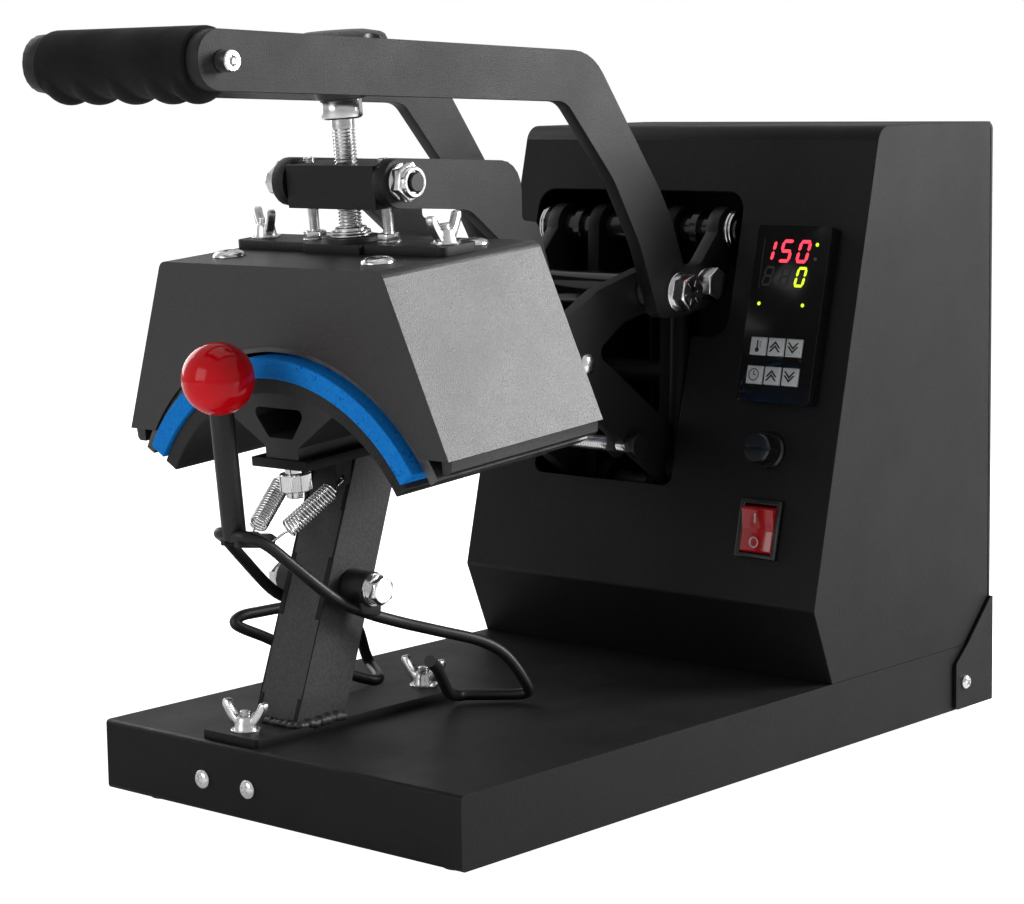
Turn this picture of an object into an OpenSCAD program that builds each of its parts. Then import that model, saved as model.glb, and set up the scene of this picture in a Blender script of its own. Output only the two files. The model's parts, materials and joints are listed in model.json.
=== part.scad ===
/* [Base] */
// Width of the base tray across the press
base_w = 248; // [244:1:252]
// Depth of the base tray from its front face to the back plate
base_d = 445; // [444:1:446]
// Height of the base tray
base_h = 36; // [35.9:0.1:36]
// Thickness of the folded steel sheet
sheet = 2; // [1.6:0.1:2.4]
// Width of the lip folded in under the tray
base_lip = 34; // [30:1:40]
// Height of the rubber feet
foot_h = 5; // [4:0.5:8]
// Radius of the rubber feet where they meet the tray
foot_r = 9; // [7:0.5:12]

/* [Housing] */
// Lean of the front panel from vertical, in degrees
panel_lean = 13.56; // [13.5:0.01:13.6]
// Front knuckle below the panel: distance back and height
knuckle = [274.8, 77.8];
// Height of the housing's flat top above the base's underside
housing_h = 330.4; // [328:0.1:334]
// Radius of the fold between the panel and the top
housing_fold_r = 10; // [4:1:14]

/* [Window] */
// Left and right edges of the wide upper part of the window
window_wide = [-107.3, 41.7];
// Left and right edges of the narrow lower part of the window
window_slim = [-82.5, 17.5];
// Heights on the panel of the window's bottom, step and top
window_s = [58, 142, 223];

/* [Controls] */
// Middle of the controller on the panel
controller_at = [84.5, 155.9];
// Width and height of the controller's face
controller_size = [48, 96];
// How far the controller stands out of the panel
controller_proud = 9; // [7:0.5:11]
// Width and height of one key
key_size = [10.5, 9.7];
// How far a key can be pushed in
key_travel = 0.8; // [0.5:0.1:1.2]
// Middle of the fuse holder on the panel
fuse_at = [81.4, 82.6];
// Middle of the rocker switch on the panel
switch_at = [82.3, 40];
// Tilt of the rocker to either side, in degrees
rocker_tilt = 8; // [6:1:9]

/* [Linkage] */
// Middle plane of the linkage, the platen and the stand
mid_x = -34; // [-35:0.5:-33]
// Fixed pivot of the press arms: distance back and height
arm_pivot = [365, 105];
// Fixed pivot of the pull links
link_pivot = [326, 125];
// Pivot between the press arms and the handle
handle_pivot = [284, 242];
// Pivot between the handle and the pull links
upper_pivot = [332, 273];
// Lower end of the gas spring
spring_foot = [303, 142];
// Upper end of the gas spring, on the right handle arm
spring_top = [307, 245];
// Thickness of the plates of the linkage
plate_t = 8; // [7:0.5:8]
// Inner face of the press arms from the middle plane
arm_in = 31.7; // [31.7:0.1:31.8]
// Inner face of the handle arms from the middle plane
handle_in = 54; // [53.5:0.5:54.5]
// Inner face of the pull links from the middle plane
link_in = 23; // [23:0.1:23]
// Radius of the shafts in the fixed and the upper pivots
shaft_r = 8; // [7:0.5:8]
// Radius of the shaft in the handle's pivot
pivot_r = 6; // [5:0.5:6]
// Radial gap between parts that turn on each other
turn_gap = 0.3; // [0.2:0.05:0.4]
// Extra radial play in the links' upper bores
link_play = 0.6; // [0.55:0.05:0.8]
// Extra radial play in the gas spring's upper eye
spring_play = 0.75; // [0.7:0.05:1]

/* [Handle] */
// Axis of the grip's rod: distance back and height
grip_axis = [-45, 368.6];
// Radius of the foam grip
grip_r = 16.5; // [14:0.5:18]
// Radius of the rod in the grip
grip_rod_r = 6; // [5:0.5:7]

/* [Platen] */
// Tilt of the platen and of the form, front end low, in degrees
pitch = 4.4; // [4.3:0.1:4.5]
// Middle of the cover's top: distance back and height
cover_top = [97, 273.9];
// Half width of the cover at its top
cover_half = 78.6; // [78:0.1:79]
// Half width of the cover at its lower edge
cover_low_half = 113.7; // [113:0.1:115]
// Height of the cover
cover_h = 89; // [88:0.5:90]
// Front and back of the cover from its middle
cover_v = [-60.4, 53.3];
// Thickness of the cover's sheet
cover_sheet = 1.6; // [1.4:0.1:2]
// Drop from the cover's top to the common axis of heater, pad and form
arc_drop = 156; // [155.5:0.5:156]
// Radius of the opening in the cover's front and back
cover_arc_r = 116; // [115:0.5:117]
// Inner radius of the heater
heater_r = 113.1; // [113:0.1:113.3]
// Thickness of the heater
heater_t = 5.9; // [5.5:0.1:6.1]
// Space from each lower edge of the cover to the heater's end
heater_end_gap = 9.3; // [8.8:0.1:10]
// Travel of the platen on the pressure screw
platen_travel = 8; // [5:0.5:8]
// Radius of the pressure screw
screw_r = 6; // [5.5:0.1:6]
// Radius of the lobed knob
knob_r = 26.5; // [24:0.5:28]

/* [Form] */
// Outer radius of the rubber pad
pad_r = 111.2; // [111:0.1:111.3]
// Thickness of the rubber pad
pad_t = 10.5; // [10.3:0.1:10.5]
// Angle from the top to each end of the pad
pad_half_angle = 57.4; // [56:0.1:58]
// Front and back of the pad from the cover's middle
pad_v = [-65, 50];
// Thickness of the form's shell
form_t = 8.3; // [7.5:0.1:9]
// Angle from the top to each end of the form
form_half_angle = 59; // [58:0.5:60]
// Front and back of the form from the cover's middle
form_v = [-62, 47];
// Level of the form's foot below the cover's top
form_foot = -96.2; // [-96.4:0.1:-96]
// Thickness of the head plate
head_plate_t = 4.8; // [4:0.1:5]

/* [Hold down] */
// Pivot of the hold down frame: distance back and height
hold_pivot = [75, 106];
// Radius of the bent wire
wire_r = 3; // [2.5:0.1:3.2]
// Middle of the ball: distance back and height
ball_at = [3, 217];
// Radius of the ball
ball_r = 18; // [16:0.5:20]
// Radius of the lever's rod
lever_r = 6; // [5:0.5:7]
// Turns of each tension spring
spring_turns = 17; // [14:1:18]
// Outer radius of each tension spring
spring_r = 5; // [4.5:0.1:5.2]
// Radius of the tension spring's wire
spring_wire_r = 0.6; // [0.5:0.05:0.6]

/* [Hidden] */
front_reach = grip_axis[0] - grip_r;
back_reach = base_d + 5.3;
left_reach = mid_x - cover_low_half;
right_reach = base_w / 2 + 4.4;
mid_w = (left_reach + right_reach) / 2;
mid_y = (front_reach + back_reach) / 2;
back_y = base_d + 0.3;
arc_w = -arc_drop;
heater_half_angle = asin((cover_low_half - heater_end_gap) / (heater_r + heater_t));
handle_out = handle_in + plate_t;
arm_out = arm_in + plate_t;
link_out = link_in + plate_t;
spring_d = 45.3;
spring_len = norm(spring_top - spring_foot);
spring_angle = atan2(spring_top[0] - spring_foot[0], spring_top[1] - spring_foot[1]);
coil_pitch = 1.75;
$fn = 48;

function unit(v) = v / norm(v);
function flat(p) = [p[0], p[1]];
function arc_points(m, r, a, d, n) = [for (i = [0:n]) m + r * [cos(a + d * i / n), sin(a + d * i / n)]];
function corner_arc(b, u, v, r, h) = let(
    m = b + unit(u + v) * r / sin(h),
    p = b + u * r / tan(h) - m,
    q = b + v * r / tan(h) - m,
    a = atan2(p[1], p[0]),
    d = (atan2(q[1], q[0]) - a + 540) % 360 - 180)
    arc_points(m, r, a, d, 5);
function corner(a, b, c, r) = r <= 0 ? [b] : corner_arc(b, unit(a - b), unit(c - b), r, acos(unit(a - b) * unit(c - b)) / 2);
// Outline with each corner [y, z, radius] rounded
function rounded(p) = let(n = len(p)) [for (i = [0:n - 1])
    each corner(flat(p[(i + n - 1) % n]), flat(p[i]), flat(p[(i + 1) % n]), p[i][2])];
// Platen's own directions, back and up, as distance back and height
function tilted(v, w) = cover_top + [v * cos(pitch) - w * sin(pitch), v * sin(pitch) + w * cos(pitch)];
// Point on the panel at height s on it and depth n inside its outer face
function on_lean(s, n) = knuckle + s * [sin(panel_lean), cos(panel_lean)] + n * [cos(panel_lean), -sin(panel_lean)];

// Moves everything so that the origin is in the middle of the bounding box, on the bench
module placed() { translate([-mid_w, -mid_y, foot_h]) children(); }
module middle() { placed() translate([mid_x, 0, 0]) children(); }
module platen_frame() { middle() translate([0, cover_top[0], cover_top[1]]) rotate([pitch, 0, 0]) children(); }
module panel_frame() { placed() translate([0, knuckle[0], knuckle[1]]) rotate([90 - panel_lean, 0, 0]) children(); }
// Profile of distance back and height, carried across from x0 to x1
module across(x0, x1) { translate([x0, 0, 0]) rotate([90, 0, 90]) linear_extrude(x1 - x0) children(); }
// Profile of width and height, carried back from v0 to v1
module along(v0, v1) { translate([0, v1, 0]) rotate([90, 0, 0]) linear_extrude(v1 - v0) children(); }
module rod_x(x0, x1, p, r) { translate([x0, p[0], p[1]]) rotate([0, 90, 0]) cylinder(h = x1 - x0, r = r); }
module rod_y(y0, y1, x, z, r) { translate([x, y0, z]) rotate([-90, 0, 0]) cylinder(h = y1 - y0, r = r); }
module hex_x(x0, x1, p, af) { translate([x0, p[0], p[1]]) rotate([0, 90, 0]) cylinder(h = x1 - x0, d = af / cos(30), $fn = 6); }
module both_sides() { children(); mirror([1, 0, 0]) children(); }
module spot(p, r) { translate([p[0], p[1]]) circle(r = r); }
// Domed screw head that stands up from z = 0
module screw_head(r, h) {
    rotate_extrude() polygon([[0, 0], [r, 0], [r, h * 0.4], [r * 0.86, h * 0.75], [r * 0.6, h], [0, h]]);
}
// Wing nut on a stud, standing up from z = 0
module wing_nut(hub_r, span, stud_r, stud_h) {
    cylinder(h = 8, r1 = hub_r, r2 = hub_r * 0.75);
    cylinder(h = stud_h, r = stud_r);
    for (a = [0, 180]) rotate([0, 0, a]) rotate([90, 0, 0]) translate([0, 0, -1.6])
        linear_extrude(3.2) polygon(rounded([[hub_r * 0.4, 1, 0], [span * 0.62, 4, 3], [span, 10, 3], [span * 0.9, 17, 3], [span * 0.55, 14, 3], [hub_r * 0.4, 7.5, 0]]));
}
// Sector of a ring between two radii, open downwards
module sector(r_in, r_out, half) {
    intersection() {
        difference() {
            circle(r = r_out, $fn = 96);
            circle(r = r_in, $fn = 96);
        }
        polygon([[0, 0], 3 * r_out * [-sin(half), cos(half)], [0, 4 * r_out], 3 * r_out * [sin(half), cos(half)]]);
    }
}

// Curve through points, and a round wire swept along it
function through(p, i, t) = let(n = len(p) - 1, a = p[max(i - 1, 0)], b = p[i], c = p[min(i + 1, n)], d = p[min(i + 2, n)])
    0.5 * (2 * b + (c - a) * t + (2 * a - 5 * b + 4 * c - d) * t * t + (3 * b - a - 3 * c + d) * t * t * t);
function smooth(p, n) = [for (i = [0:len(p) - 2]) for (j = [0:n - 1]) through(p, i, j / n), p[len(p) - 1]];
function heading(p, i) = unit(p[min(i + 1, len(p) - 1)] - p[max(i - 1, 0)]);
function ring(p, i, r, n, ref) = let(t = heading(p, i), u = unit(cross(t, ref)), v = cross(t, u))
    [for (k = [0:n - 1]) p[i] + r * (u * cos(360 * k / n) + v * sin(360 * k / n))];
module swept(p, r, n, ref) {
    m = len(p);
    polyhedron([for (i = [0:m - 1]) each ring(p, i, r, n, ref)],
        [[for (k = [0:n - 1]) k], [for (k = [0:n - 1]) m * n - 1 - k],
            for (i = [0:m - 2]) for (k = [0:n - 1]) each [[i * n + k, (i + 1) * n + k, (i + 1) * n + (k + 1) % n],
                [i * n + k, (i + 1) * n + (k + 1) % n, i * n + (k + 1) % n]]]);
}

module base_tray() {
    color([0.13, 0.13, 0.13]) placed() difference() {
        across(-base_w / 2, base_w / 2)
            polygon(rounded([[0, 0, 2], [base_d, 0, 0], [base_d, base_h, 0], [0, base_h, 2]]));
        translate([-base_w / 2 + sheet, sheet, sheet])
            cube([base_w - 2 * sheet, base_d - 2 * sheet, base_h - 2 * sheet]);
        translate([-base_w / 2 + base_lip, base_lip, -1])
            cube([base_w - 2 * base_lip, base_d - 2 * base_lip, sheet + 2]);
        for (x = [-50.8, -18.1]) rod_y(-1, sheet + 1, x, 16.3, 2.6);
        for (y = [15.3, 143.5]) translate([mid_x - 1, y, base_h - sheet - 1]) cylinder(h = sheet + 2, r = 3.1);
    }
}
module base_feet() {
    color([0.05, 0.05, 0.05]) placed() for (x = [-1, 1], y = [21, base_d - 23])
        translate([x * (base_w / 2 - 21), y, -foot_h]) cylinder(h = foot_h, r1 = foot_r - 1, r2 = foot_r);
}
module base_front_screws() {
    color([0.75, 0.75, 0.75]) placed() for (x = [-50.8, -18.1]) {
        translate([x, 0, 16.3]) rotate([90, 0, 0]) screw_head(5, 2.6);
        rod_y(0, 9, x, 16.3, 2.5);
        rod_y(sheet, sheet + 3.5, x, 16.3, 4.5);
    }
}

housing_line = [[291.5, base_h, 0], [knuckle[0], knuckle[1], 3],
    [on_lean((housing_h - knuckle[1]) / cos(panel_lean), 0)[0], housing_h, housing_fold_r],
    [base_d, housing_h, 0], [base_d, 60.6, 0], [base_d - 24.6, base_h, 0]];
housing_void = [[291.9 + sheet * 1.08, base_h - 1, 0], [knuckle[0] + sheet * 1.047, knuckle[1] + 0.15, 2],
    [housing_line[2][0] + sheet * 0.787, housing_h - sheet, housing_fold_r - sheet],
    [base_d + 1, housing_h - sheet, 0], [base_d + 1, base_h - 1, 0]];
window_line = [[window_wide[0], window_s[2], 11], [window_wide[0], window_s[1], 11], [window_slim[0], window_s[1], 3],
    [window_slim[0], window_s[0], 6], [window_slim[1], window_s[0], 6], [window_slim[1], window_s[1], 3],
    [window_wide[1], window_s[1], 11], [window_wide[1], window_s[2], 11]];
module housing_shell() {
    color([0.13, 0.13, 0.13]) difference() {
        placed() across(-base_w / 2, base_w / 2) polygon(rounded(housing_line));
        placed() across(sheet - base_w / 2, base_w / 2 - sheet) polygon(rounded(housing_void));
        panel_frame() translate([0, 0, -8]) linear_extrude(10) polygon(rounded(window_line));
        panel_frame() translate([controller_at[0] - 22.4, controller_at[1] - 46.4, -8]) cube([44.8, 92.8, 10]);
        panel_frame() translate([fuse_at[0], fuse_at[1], -8]) cylinder(h = 10, r = 7.7);
        panel_frame() translate([switch_at[0] - 12.5, switch_at[1] - 15, -8]) cube([25, 30, 10]);
    }
}

tab_screw = [base_d - 26, 15.3];
rear_top = housing_h - 18.4;
rear_mid = housing_h - 140.4;
rear_holes = [[-108, rear_top], [108, rear_top], [-108, rear_mid], [108, rear_mid], [-60, 17], [60, 17]];
inlet_at = [78, 96];
module back_plate() {
    color([0.13, 0.13, 0.13]) placed() difference() {
        union() {
            translate([0, back_y, 0]) rotate([90, 0, 0]) mirror([0, 0, 1]) linear_extrude(sheet)
                polygon(rounded([[-base_w / 2 - 2.2, 0.5, 0], [base_w / 2 + 2.2, 0.5, 0], [base_w / 2 + 2.2, 60.6, 0],
                    [base_w / 2, 60.6, 0], [base_w / 2, housing_h, 4], [-base_w / 2, housing_h, 4],
                    [-base_w / 2, 60.6, 0], [-base_w / 2 - 2.2, 60.6, 0]]));
            for (x = [-base_w / 2 - 2.2, base_w / 2 + 0.2]) across(x, x + 2) difference() {
                polygon(rounded([[base_d - 35.5, 0.5, 2], [base_d - 35.5, 27, 2], [base_d - 23.6, 37, 4], [back_y, 60.6, 0],
                    [back_y + sheet, 60.6, 0], [back_y + sheet, 0.5, 0]]));
                spot(tab_screw, 2.1);
            }
        }
        for (p = rear_holes) rod_y(back_y - 1, back_y + sheet + 1, p[0], p[1], 2.1);
        translate([inlet_at[0] - 13.8, back_y - 1, inlet_at[1] - 10.3]) cube([27.6, sheet + 2, 20.6]);
    }
}
module back_plate_screws() {
    color([0.75, 0.75, 0.75]) placed() {
        for (p = rear_holes) {
            translate([p[0], back_y + sheet, p[1]]) rotate([-90, 0, 0]) screw_head(4, 2.2);
            rod_y(p[1] < 30 ? back_y : back_y - 5, back_y + sheet, p[0], p[1], 2);
        }
        both_sides() {
            rod_x(base_w / 2 + 0.2, base_w / 2 + 2.2, tab_screw, 2);
            translate([base_w / 2 + 2.2, tab_screw[0], tab_screw[1]]) rotate([0, 90, 0]) screw_head(4, 2.2);
        }
    }
}
module power_inlet() {
    color([0.08, 0.08, 0.08]) placed() translate([inlet_at[0], back_y + sheet, inlet_at[1]]) {
        difference() {
            union() {
                along(0, 3) polygon(rounded([[-25, 0, 5], [-14, -11.5, 3], [14, -11.5, 3], [25, 0, 5], [14, 11.5, 3], [-14, 11.5, 3]]));
                translate([-13.6, -24, -10.1]) cube([27.2, 24.5, 20.2]);
            }
            along(-17, 4) polygon(rounded([[-12, -8, 1], [12, -8, 1], [12, 4, 1], [8, 8, 1], [-8, 8, 1], [-12, 4, 1]]));
        }
        for (p = [[-7, -2], [7, -2], [0, 2]]) translate([p[0] - 1, -17, p[1] - 2]) cube([2, 11, 4]);
    }
}

display_at = [81.3, 182.7];
display_size = [31.3, 27.4];
key_at = [[71.4, 137.6], [83.1, 137.6], [94.8, 137.6], [71.5, 122], [83.2, 122], [94.9, 122]];
key_gap = 0.25;
key_floor = controller_proud - 4;
module centred_box(p, s, n0, n1) { translate([p[0] - s[0] / 2, p[1] - s[1] / 2, n0]) cube([s[0], s[1], n1 - n0]); }
module controller_case() {
    color([0.07, 0.07, 0.07]) panel_frame() difference() {
        union() {
            translate([0, 0, 0]) linear_extrude(controller_proud) translate(controller_at - controller_size / 2)
                polygon(rounded([[0, 0, 2], [controller_size[0], 0, 2], [controller_size[0], controller_size[1], 2], [0, controller_size[1], 2]]));
            centred_box(controller_at, [44.4, 92.4], -62, 0.5);
        }
        centred_box(display_at, display_size, controller_proud - 1.6, controller_proud + 1);
        for (p = key_at) centred_box(p, key_size + 2 * [key_gap, key_gap], key_floor, controller_proud + 1);
    }
}
module controller_display() {
    color([0.02, 0.02, 0.02]) panel_frame()
        centred_box(display_at, display_size - [0.1, 0.1], controller_proud - 1.6, controller_proud - 0.5);
}
module key(i) {
    color([0.6, 0.6, 0.6]) panel_frame() {
        centred_box(key_at[i], key_size, key_floor + key_travel + 0.3, controller_proud + 0.6);
        centred_box(key_at[i], key_size - [1.6, 1.6], controller_proud + 0.6, controller_proud + 1.4);
    }
}
module key_top_left() { key(0); }
module key_top_mid() { key(1); }
module key_top_right() { key(2); }
module key_low_left() { key(3); }
module key_low_mid() { key(4); }
module key_low_right() { key(5); }

module fuse_holder() {
    color([0.06, 0.06, 0.06]) panel_frame() translate([fuse_at[0], fuse_at[1], 0]) difference() {
        union() {
            rotate_extrude() polygon([[0, 0], [10.3, 0], [10.3, 1.8], [9.4, 3], [0, 3]]);
            translate([0, 0, -26]) cylinder(h = 26.5, r = 7.5);
            translate([0, 0, -sheet - 4]) cylinder(h = 4, d = 22, $fn = 6);
        }
        translate([0, 0, -22]) cylinder(h = 30, r = 5.6);
    }
}
module fuse_cap() {
    color([0.06, 0.06, 0.06]) panel_frame() translate([fuse_at[0], fuse_at[1], 0]) difference() {
        union() {
            translate([0, 0, 3.3]) rotate_extrude() polygon([[0, 0], [8.5, 0], [8.3, 8.4], [7.4, 9.7], [0, 9.7]]);
            translate([0, 0, -18]) cylinder(h = 22, r = 5.3);
        }
        translate([-9, -0.9, 11]) cube([18, 1.8, 3]);
        for (a = [0:30:330]) rotate([0, 0, a]) translate([9.2, 0, 5]) cylinder(h = 9, r = 1.1, $fn = 16);
    }
}
module switch_bezel() {
    color([0.05, 0.05, 0.05]) panel_frame() difference() {
        union() {
            centred_box(switch_at, [27, 32], 0, 2.6);
            centred_box(switch_at, [24.6, 29.6], -20, 0.5);
        }
        centred_box(switch_at, [21, 26.4], -11, 4);
    }
}
rocker_axis = -2;
module switch_rocker() {
    color([0.55, 0.03, 0.05]) panel_frame() translate([switch_at[0] - 10.2, switch_at[1], rocker_axis])
        rotate([rocker_tilt, 0, 0]) rotate([90, 0, 90]) linear_extrude(20.4)
            polygon(rounded([[-12.2, -2, 1], [-5, -7, 3], [5, -7, 3], [12.2, -2, 1], [12, 6.4, 1.2], [0, 4.6, 14], [-12, 6.4, 1.2]]));
}

module frame_bracket() {
    color([0.2, 0.2, 0.2]) middle() difference() {
        union() {
            translate([-51.5, 297, base_h]) cube([103, 112, 5]);
            both_sides() {
                across(14.5, link_in - 2) union() {
                    polygon([[302, base_h], [396, base_h], [383, 107], [365, 123], [326, 140], [311, 126]]);
                    spot(link_pivot, 15);
                    spot(arm_pivot, 18);
                }
                across(arm_out + 1.3, arm_out + 7.3) union() {
                    polygon([[335, base_h], [402, base_h], [383, 105], [347, 105]]);
                    spot(arm_pivot, 18);
                }
            }
        }
        rod_x(-60, 60, arm_pivot, shaft_r + 0.05);
        rod_x(-40, 40, link_pivot, shaft_r + 0.05);
    }
}
module frame_shafts() {
    color([0.7, 0.7, 0.7]) middle() {
        rod_x(-arm_out - 13, arm_out + 13, arm_pivot, shaft_r);
        both_sides() hex_x(arm_out + 7.4, arm_out + 14, arm_pivot, 24);
        both_sides() rod_x(link_in - 1.8, arm_in - 0.5, arm_pivot, 12);
        rod_x(-link_out, link_out, link_pivot, shaft_r);
    }
}
module pull_links() {
    color([0.16, 0.16, 0.16]) middle() difference() {
        union() {
            both_sides() across(link_in, link_out) union() {
                spot(link_pivot, 13);
                spot(upper_pivot, 13);
                polygon([link_pivot + [-13, 0.5], link_pivot + [13, -0.5], upper_pivot + [13, -0.5], upper_pivot + [-13, 0.5]]);
            }
            rod_x(-link_in - 1, link_in + 1, [328.5, 192], 6);
        }
        rod_x(-40, 40, link_pivot, shaft_r + turn_gap);
        rod_x(-40, 40, upper_pivot, shaft_r + link_play);
    }
}
arm_line = [[79.5, 296.6, 12], [79.5, 321.2, 12], [182, 316.4, 16], [182, 285.5, 3], [194, 284, 4], [214, 230, 8],
    [243, 245, 12], [281, 254.3, 0], [284, 242, 0], [281.5, 229.7, 0], [264.5, 226, 6], [240.5, 211.3, 5],
    [373.5, 116.1, 0], [365, 105, 0], [356.6, 93.9, 0], [243, 174.7, 20], [164.7, 276.3, 20], [142, 293, 15]];
block_bolt = [92, 308.9];
module press_arms() {
    color([0.16, 0.16, 0.16]) middle() both_sides() difference() {
        across(arm_in, arm_out) union() {
            polygon(rounded(arm_line));
            spot(handle_pivot, 12.5);
            spot(arm_pivot, 14);
        }
        rod_x(20, 60, arm_pivot, shaft_r + turn_gap);
        rod_x(20, 60, handle_pivot, pivot_r + turn_gap);
        rod_x(20, 60, block_bolt, 5.05);
        rod_x(20, 60, [270, 158], 4.05);
    }
}
module arm_tie_tube() {
    color([0.8, 0.8, 0.8]) middle() difference() {
        rod_x(-arm_in, arm_in, handle_pivot, 9.5);
        rod_x(-40, 40, handle_pivot, pivot_r + turn_gap);
    }
}
module arm_tie_rod() {
    color([0.8, 0.8, 0.8]) middle() {
        rod_x(-arm_out - 3, arm_out + 3, [270, 158], 4);
        rod_x(-arm_in, arm_in, [270, 158], 6);
        both_sides() hex_x(arm_out, arm_out + 6, [270, 158], 13);
    }
}

rod_d = 26.4;
module cross_block() {
    color([0.18, 0.18, 0.18]) difference() {
        platen_frame() translate([-31, -12.4, 22.2]) cube([62, 24, 22]);
        platen_frame() translate([0, 0, 15]) cylinder(h = 40, r = screw_r + turn_gap);
        platen_frame() for (x = [-rod_d, rod_d]) translate([x, 0, 15]) cylinder(h = 40, r = 3 + turn_gap);
        middle() both_sides() rod_x(29.9, 40, block_bolt, 5.05);
    }
}
module block_bolts() {
    color([0.8, 0.8, 0.8]) middle() both_sides() {
        rod_x(30, arm_out + 11.6, block_bolt, 5);
        rod_x(arm_out, arm_out + 1.5, block_bolt, 9.5);
        hex_x(arm_out + 1.5, arm_out + 9, block_bolt, 16);
    }
}
spreader_t = 4.8;
module pressure_screw() {
    color([0.7, 0.7, 0.7]) platen_frame() {
        translate([0, 0, spreader_t + 2.4]) cylinder(h = 79 - spreader_t - 2.4, r = screw_r);
        translate([0, 0, spreader_t + 2.5]) cylinder(h = 5.6, d = 22 / cos(30), $fn = 6);
    }
}
module screw_collar() {
    color([0.85, 0.85, 0.85]) platen_frame() difference() {
        translate([0, 0, 66.4]) rotate_extrude() polygon([[0, 0], [9.5, 0], [10.5, 1], [10.5, 9.8], [0, 9.8]]);
        translate([0, 0, 60]) cylinder(h = 30, r = screw_r + 0.05);
    }
}
module pressure_knob() {
    color([0.05, 0.05, 0.05]) platen_frame() difference() {
        translate([0, 0, 76.4]) rotate_extrude() polygon([[0, 0], [12.5, 0], [14, 6], [18, 8.5], [knob_r - 1.5, 9.5],
            [knob_r, 11.5], [knob_r, 28], [knob_r - 1.2, 30.5], [knob_r - 4, 32], [15, 33.6], [0, 34]]);
        for (i = [0:7]) rotate([0, 0, i * 45]) translate([knob_r + 4.2, 0, 70]) cylinder(h = 50, r = 8);
        translate([0, 0, 76]) cylinder(h = 3.2, r = screw_r + 0.05);
    }
}
module guide_rods() {
    color([0.8, 0.8, 0.8]) platen_frame() for (x = [-rod_d, rod_d]) translate([x, 0, 0]) {
        cylinder(h = 47.2, r = 3);
        translate([0, 0, spreader_t + 0.02]) cylinder(h = 5, d = 11 / cos(30), $fn = 6);
    }
}
module spreader_plate() {
    color([0.14, 0.14, 0.14]) platen_frame() difference() {
        union() {
            linear_extrude(spreader_t) polygon(rounded([[-74, -12, 4], [-20, -12, 0], [-20, -15.5, 1], [20, -15.5, 1],
                [20, -12, 0], [74, -12, 4], [74, 14, 4], [-74, 14, 4]]));
            cylinder(h = spreader_t + 2.3, r = 15);
        }
        for (x = [-rod_d, rod_d]) translate([x, 0, -1]) cylinder(h = 10, r = 3.05);
        for (x = [-64, 64]) translate([x, 1, -1]) cylinder(h = 10, r = 3.1);
    }
}
module spreader_wing_nuts() {
    color([0.75, 0.75, 0.75]) platen_frame() for (x = [-64, 64]) translate([x, 1, spreader_t]) {
        rotate([0, 0, 35]) wing_nut(6.5, 15, 3, 11);
        translate([0, 0, -spreader_t - 1.5]) cylinder(h = 8, r = 3);
    }
}
cover_line = [[-cover_half, 0, 5], [-cover_low_half, -cover_h, 0], [cover_low_half, -cover_h, 0], [cover_half, 0, 5]];
side_lean = atan((cover_low_half - cover_half) / cover_h);
inner_top = cover_half - cover_sheet * tan(45 - side_lean / 2);
cover_void = [[-inner_top, -cover_sheet, 3.5],
    [-cover_low_half - tan(side_lean) + cover_sheet / cos(side_lean), -cover_h - 1, 0],
    [cover_low_half + tan(side_lean) - cover_sheet / cos(side_lean), -cover_h - 1, 0],
    [inner_top, -cover_sheet, 3.5]];
cover_lip = [[cover_low_half - 7.5, 1 - cover_h], [cover_low_half - 0.8, 1 - cover_h],
    [cover_low_half - 1.4, -cover_h - 5.5], [cover_low_half - 3, -cover_h - 7], [cover_low_half - 7.5, -cover_h - 7]];
cover_screw_at = [[-53, -36], [53, -36], [-53, 32], [53, 32]];
module platen_cover() {
    color([0.16, 0.16, 0.16]) platen_frame() union() {
        both_sides() along(cover_v[0] + 3, cover_v[1] - 3) polygon(cover_lip);
        cover_shell();
    }
}
module cover_shell() {
    difference() {
        along(cover_v[0], cover_v[1]) polygon(rounded(cover_line));
        along(cover_v[0] + cover_sheet, cover_v[1] - cover_sheet) polygon(rounded(cover_void));
        along(cover_v[0] - 1, cover_v[1] + 1) translate([0, arc_w]) circle(r = cover_arc_r, $fn = 96);
        for (x = [-64, 64]) translate([x, 1, -5]) cylinder(h = 10, r = 3.1);
        for (p = cover_screw_at) translate([p[0], p[1], -5]) cylinder(h = 10, r = 3.1);
    }
}
module cover_screws() {
    color([0.75, 0.75, 0.75]) platen_frame() for (p = cover_screw_at) translate([p[0], p[1], 0]) {
        screw_head(8.4, 3.4);
        translate([0, 0, -8]) cylinder(h = 8, r = 3);
    }
}
module heater_block() {
    color([0.5, 0.5, 0.5]) platen_frame() along(cover_v[0] + cover_sheet + 0.2, cover_v[1] - cover_sheet - 0.2)
        translate([0, arc_w]) sector(heater_r, heater_r + heater_t, heater_half_angle);
}
module insulation() {
    color([0.8, 0.78, 0.7]) platen_frame() along(cover_v[0] + 6, cover_v[1] - 6)
        translate([0, arc_w]) sector(heater_r + heater_t + 0.2, heater_r + heater_t + 9, 50);
}

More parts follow.
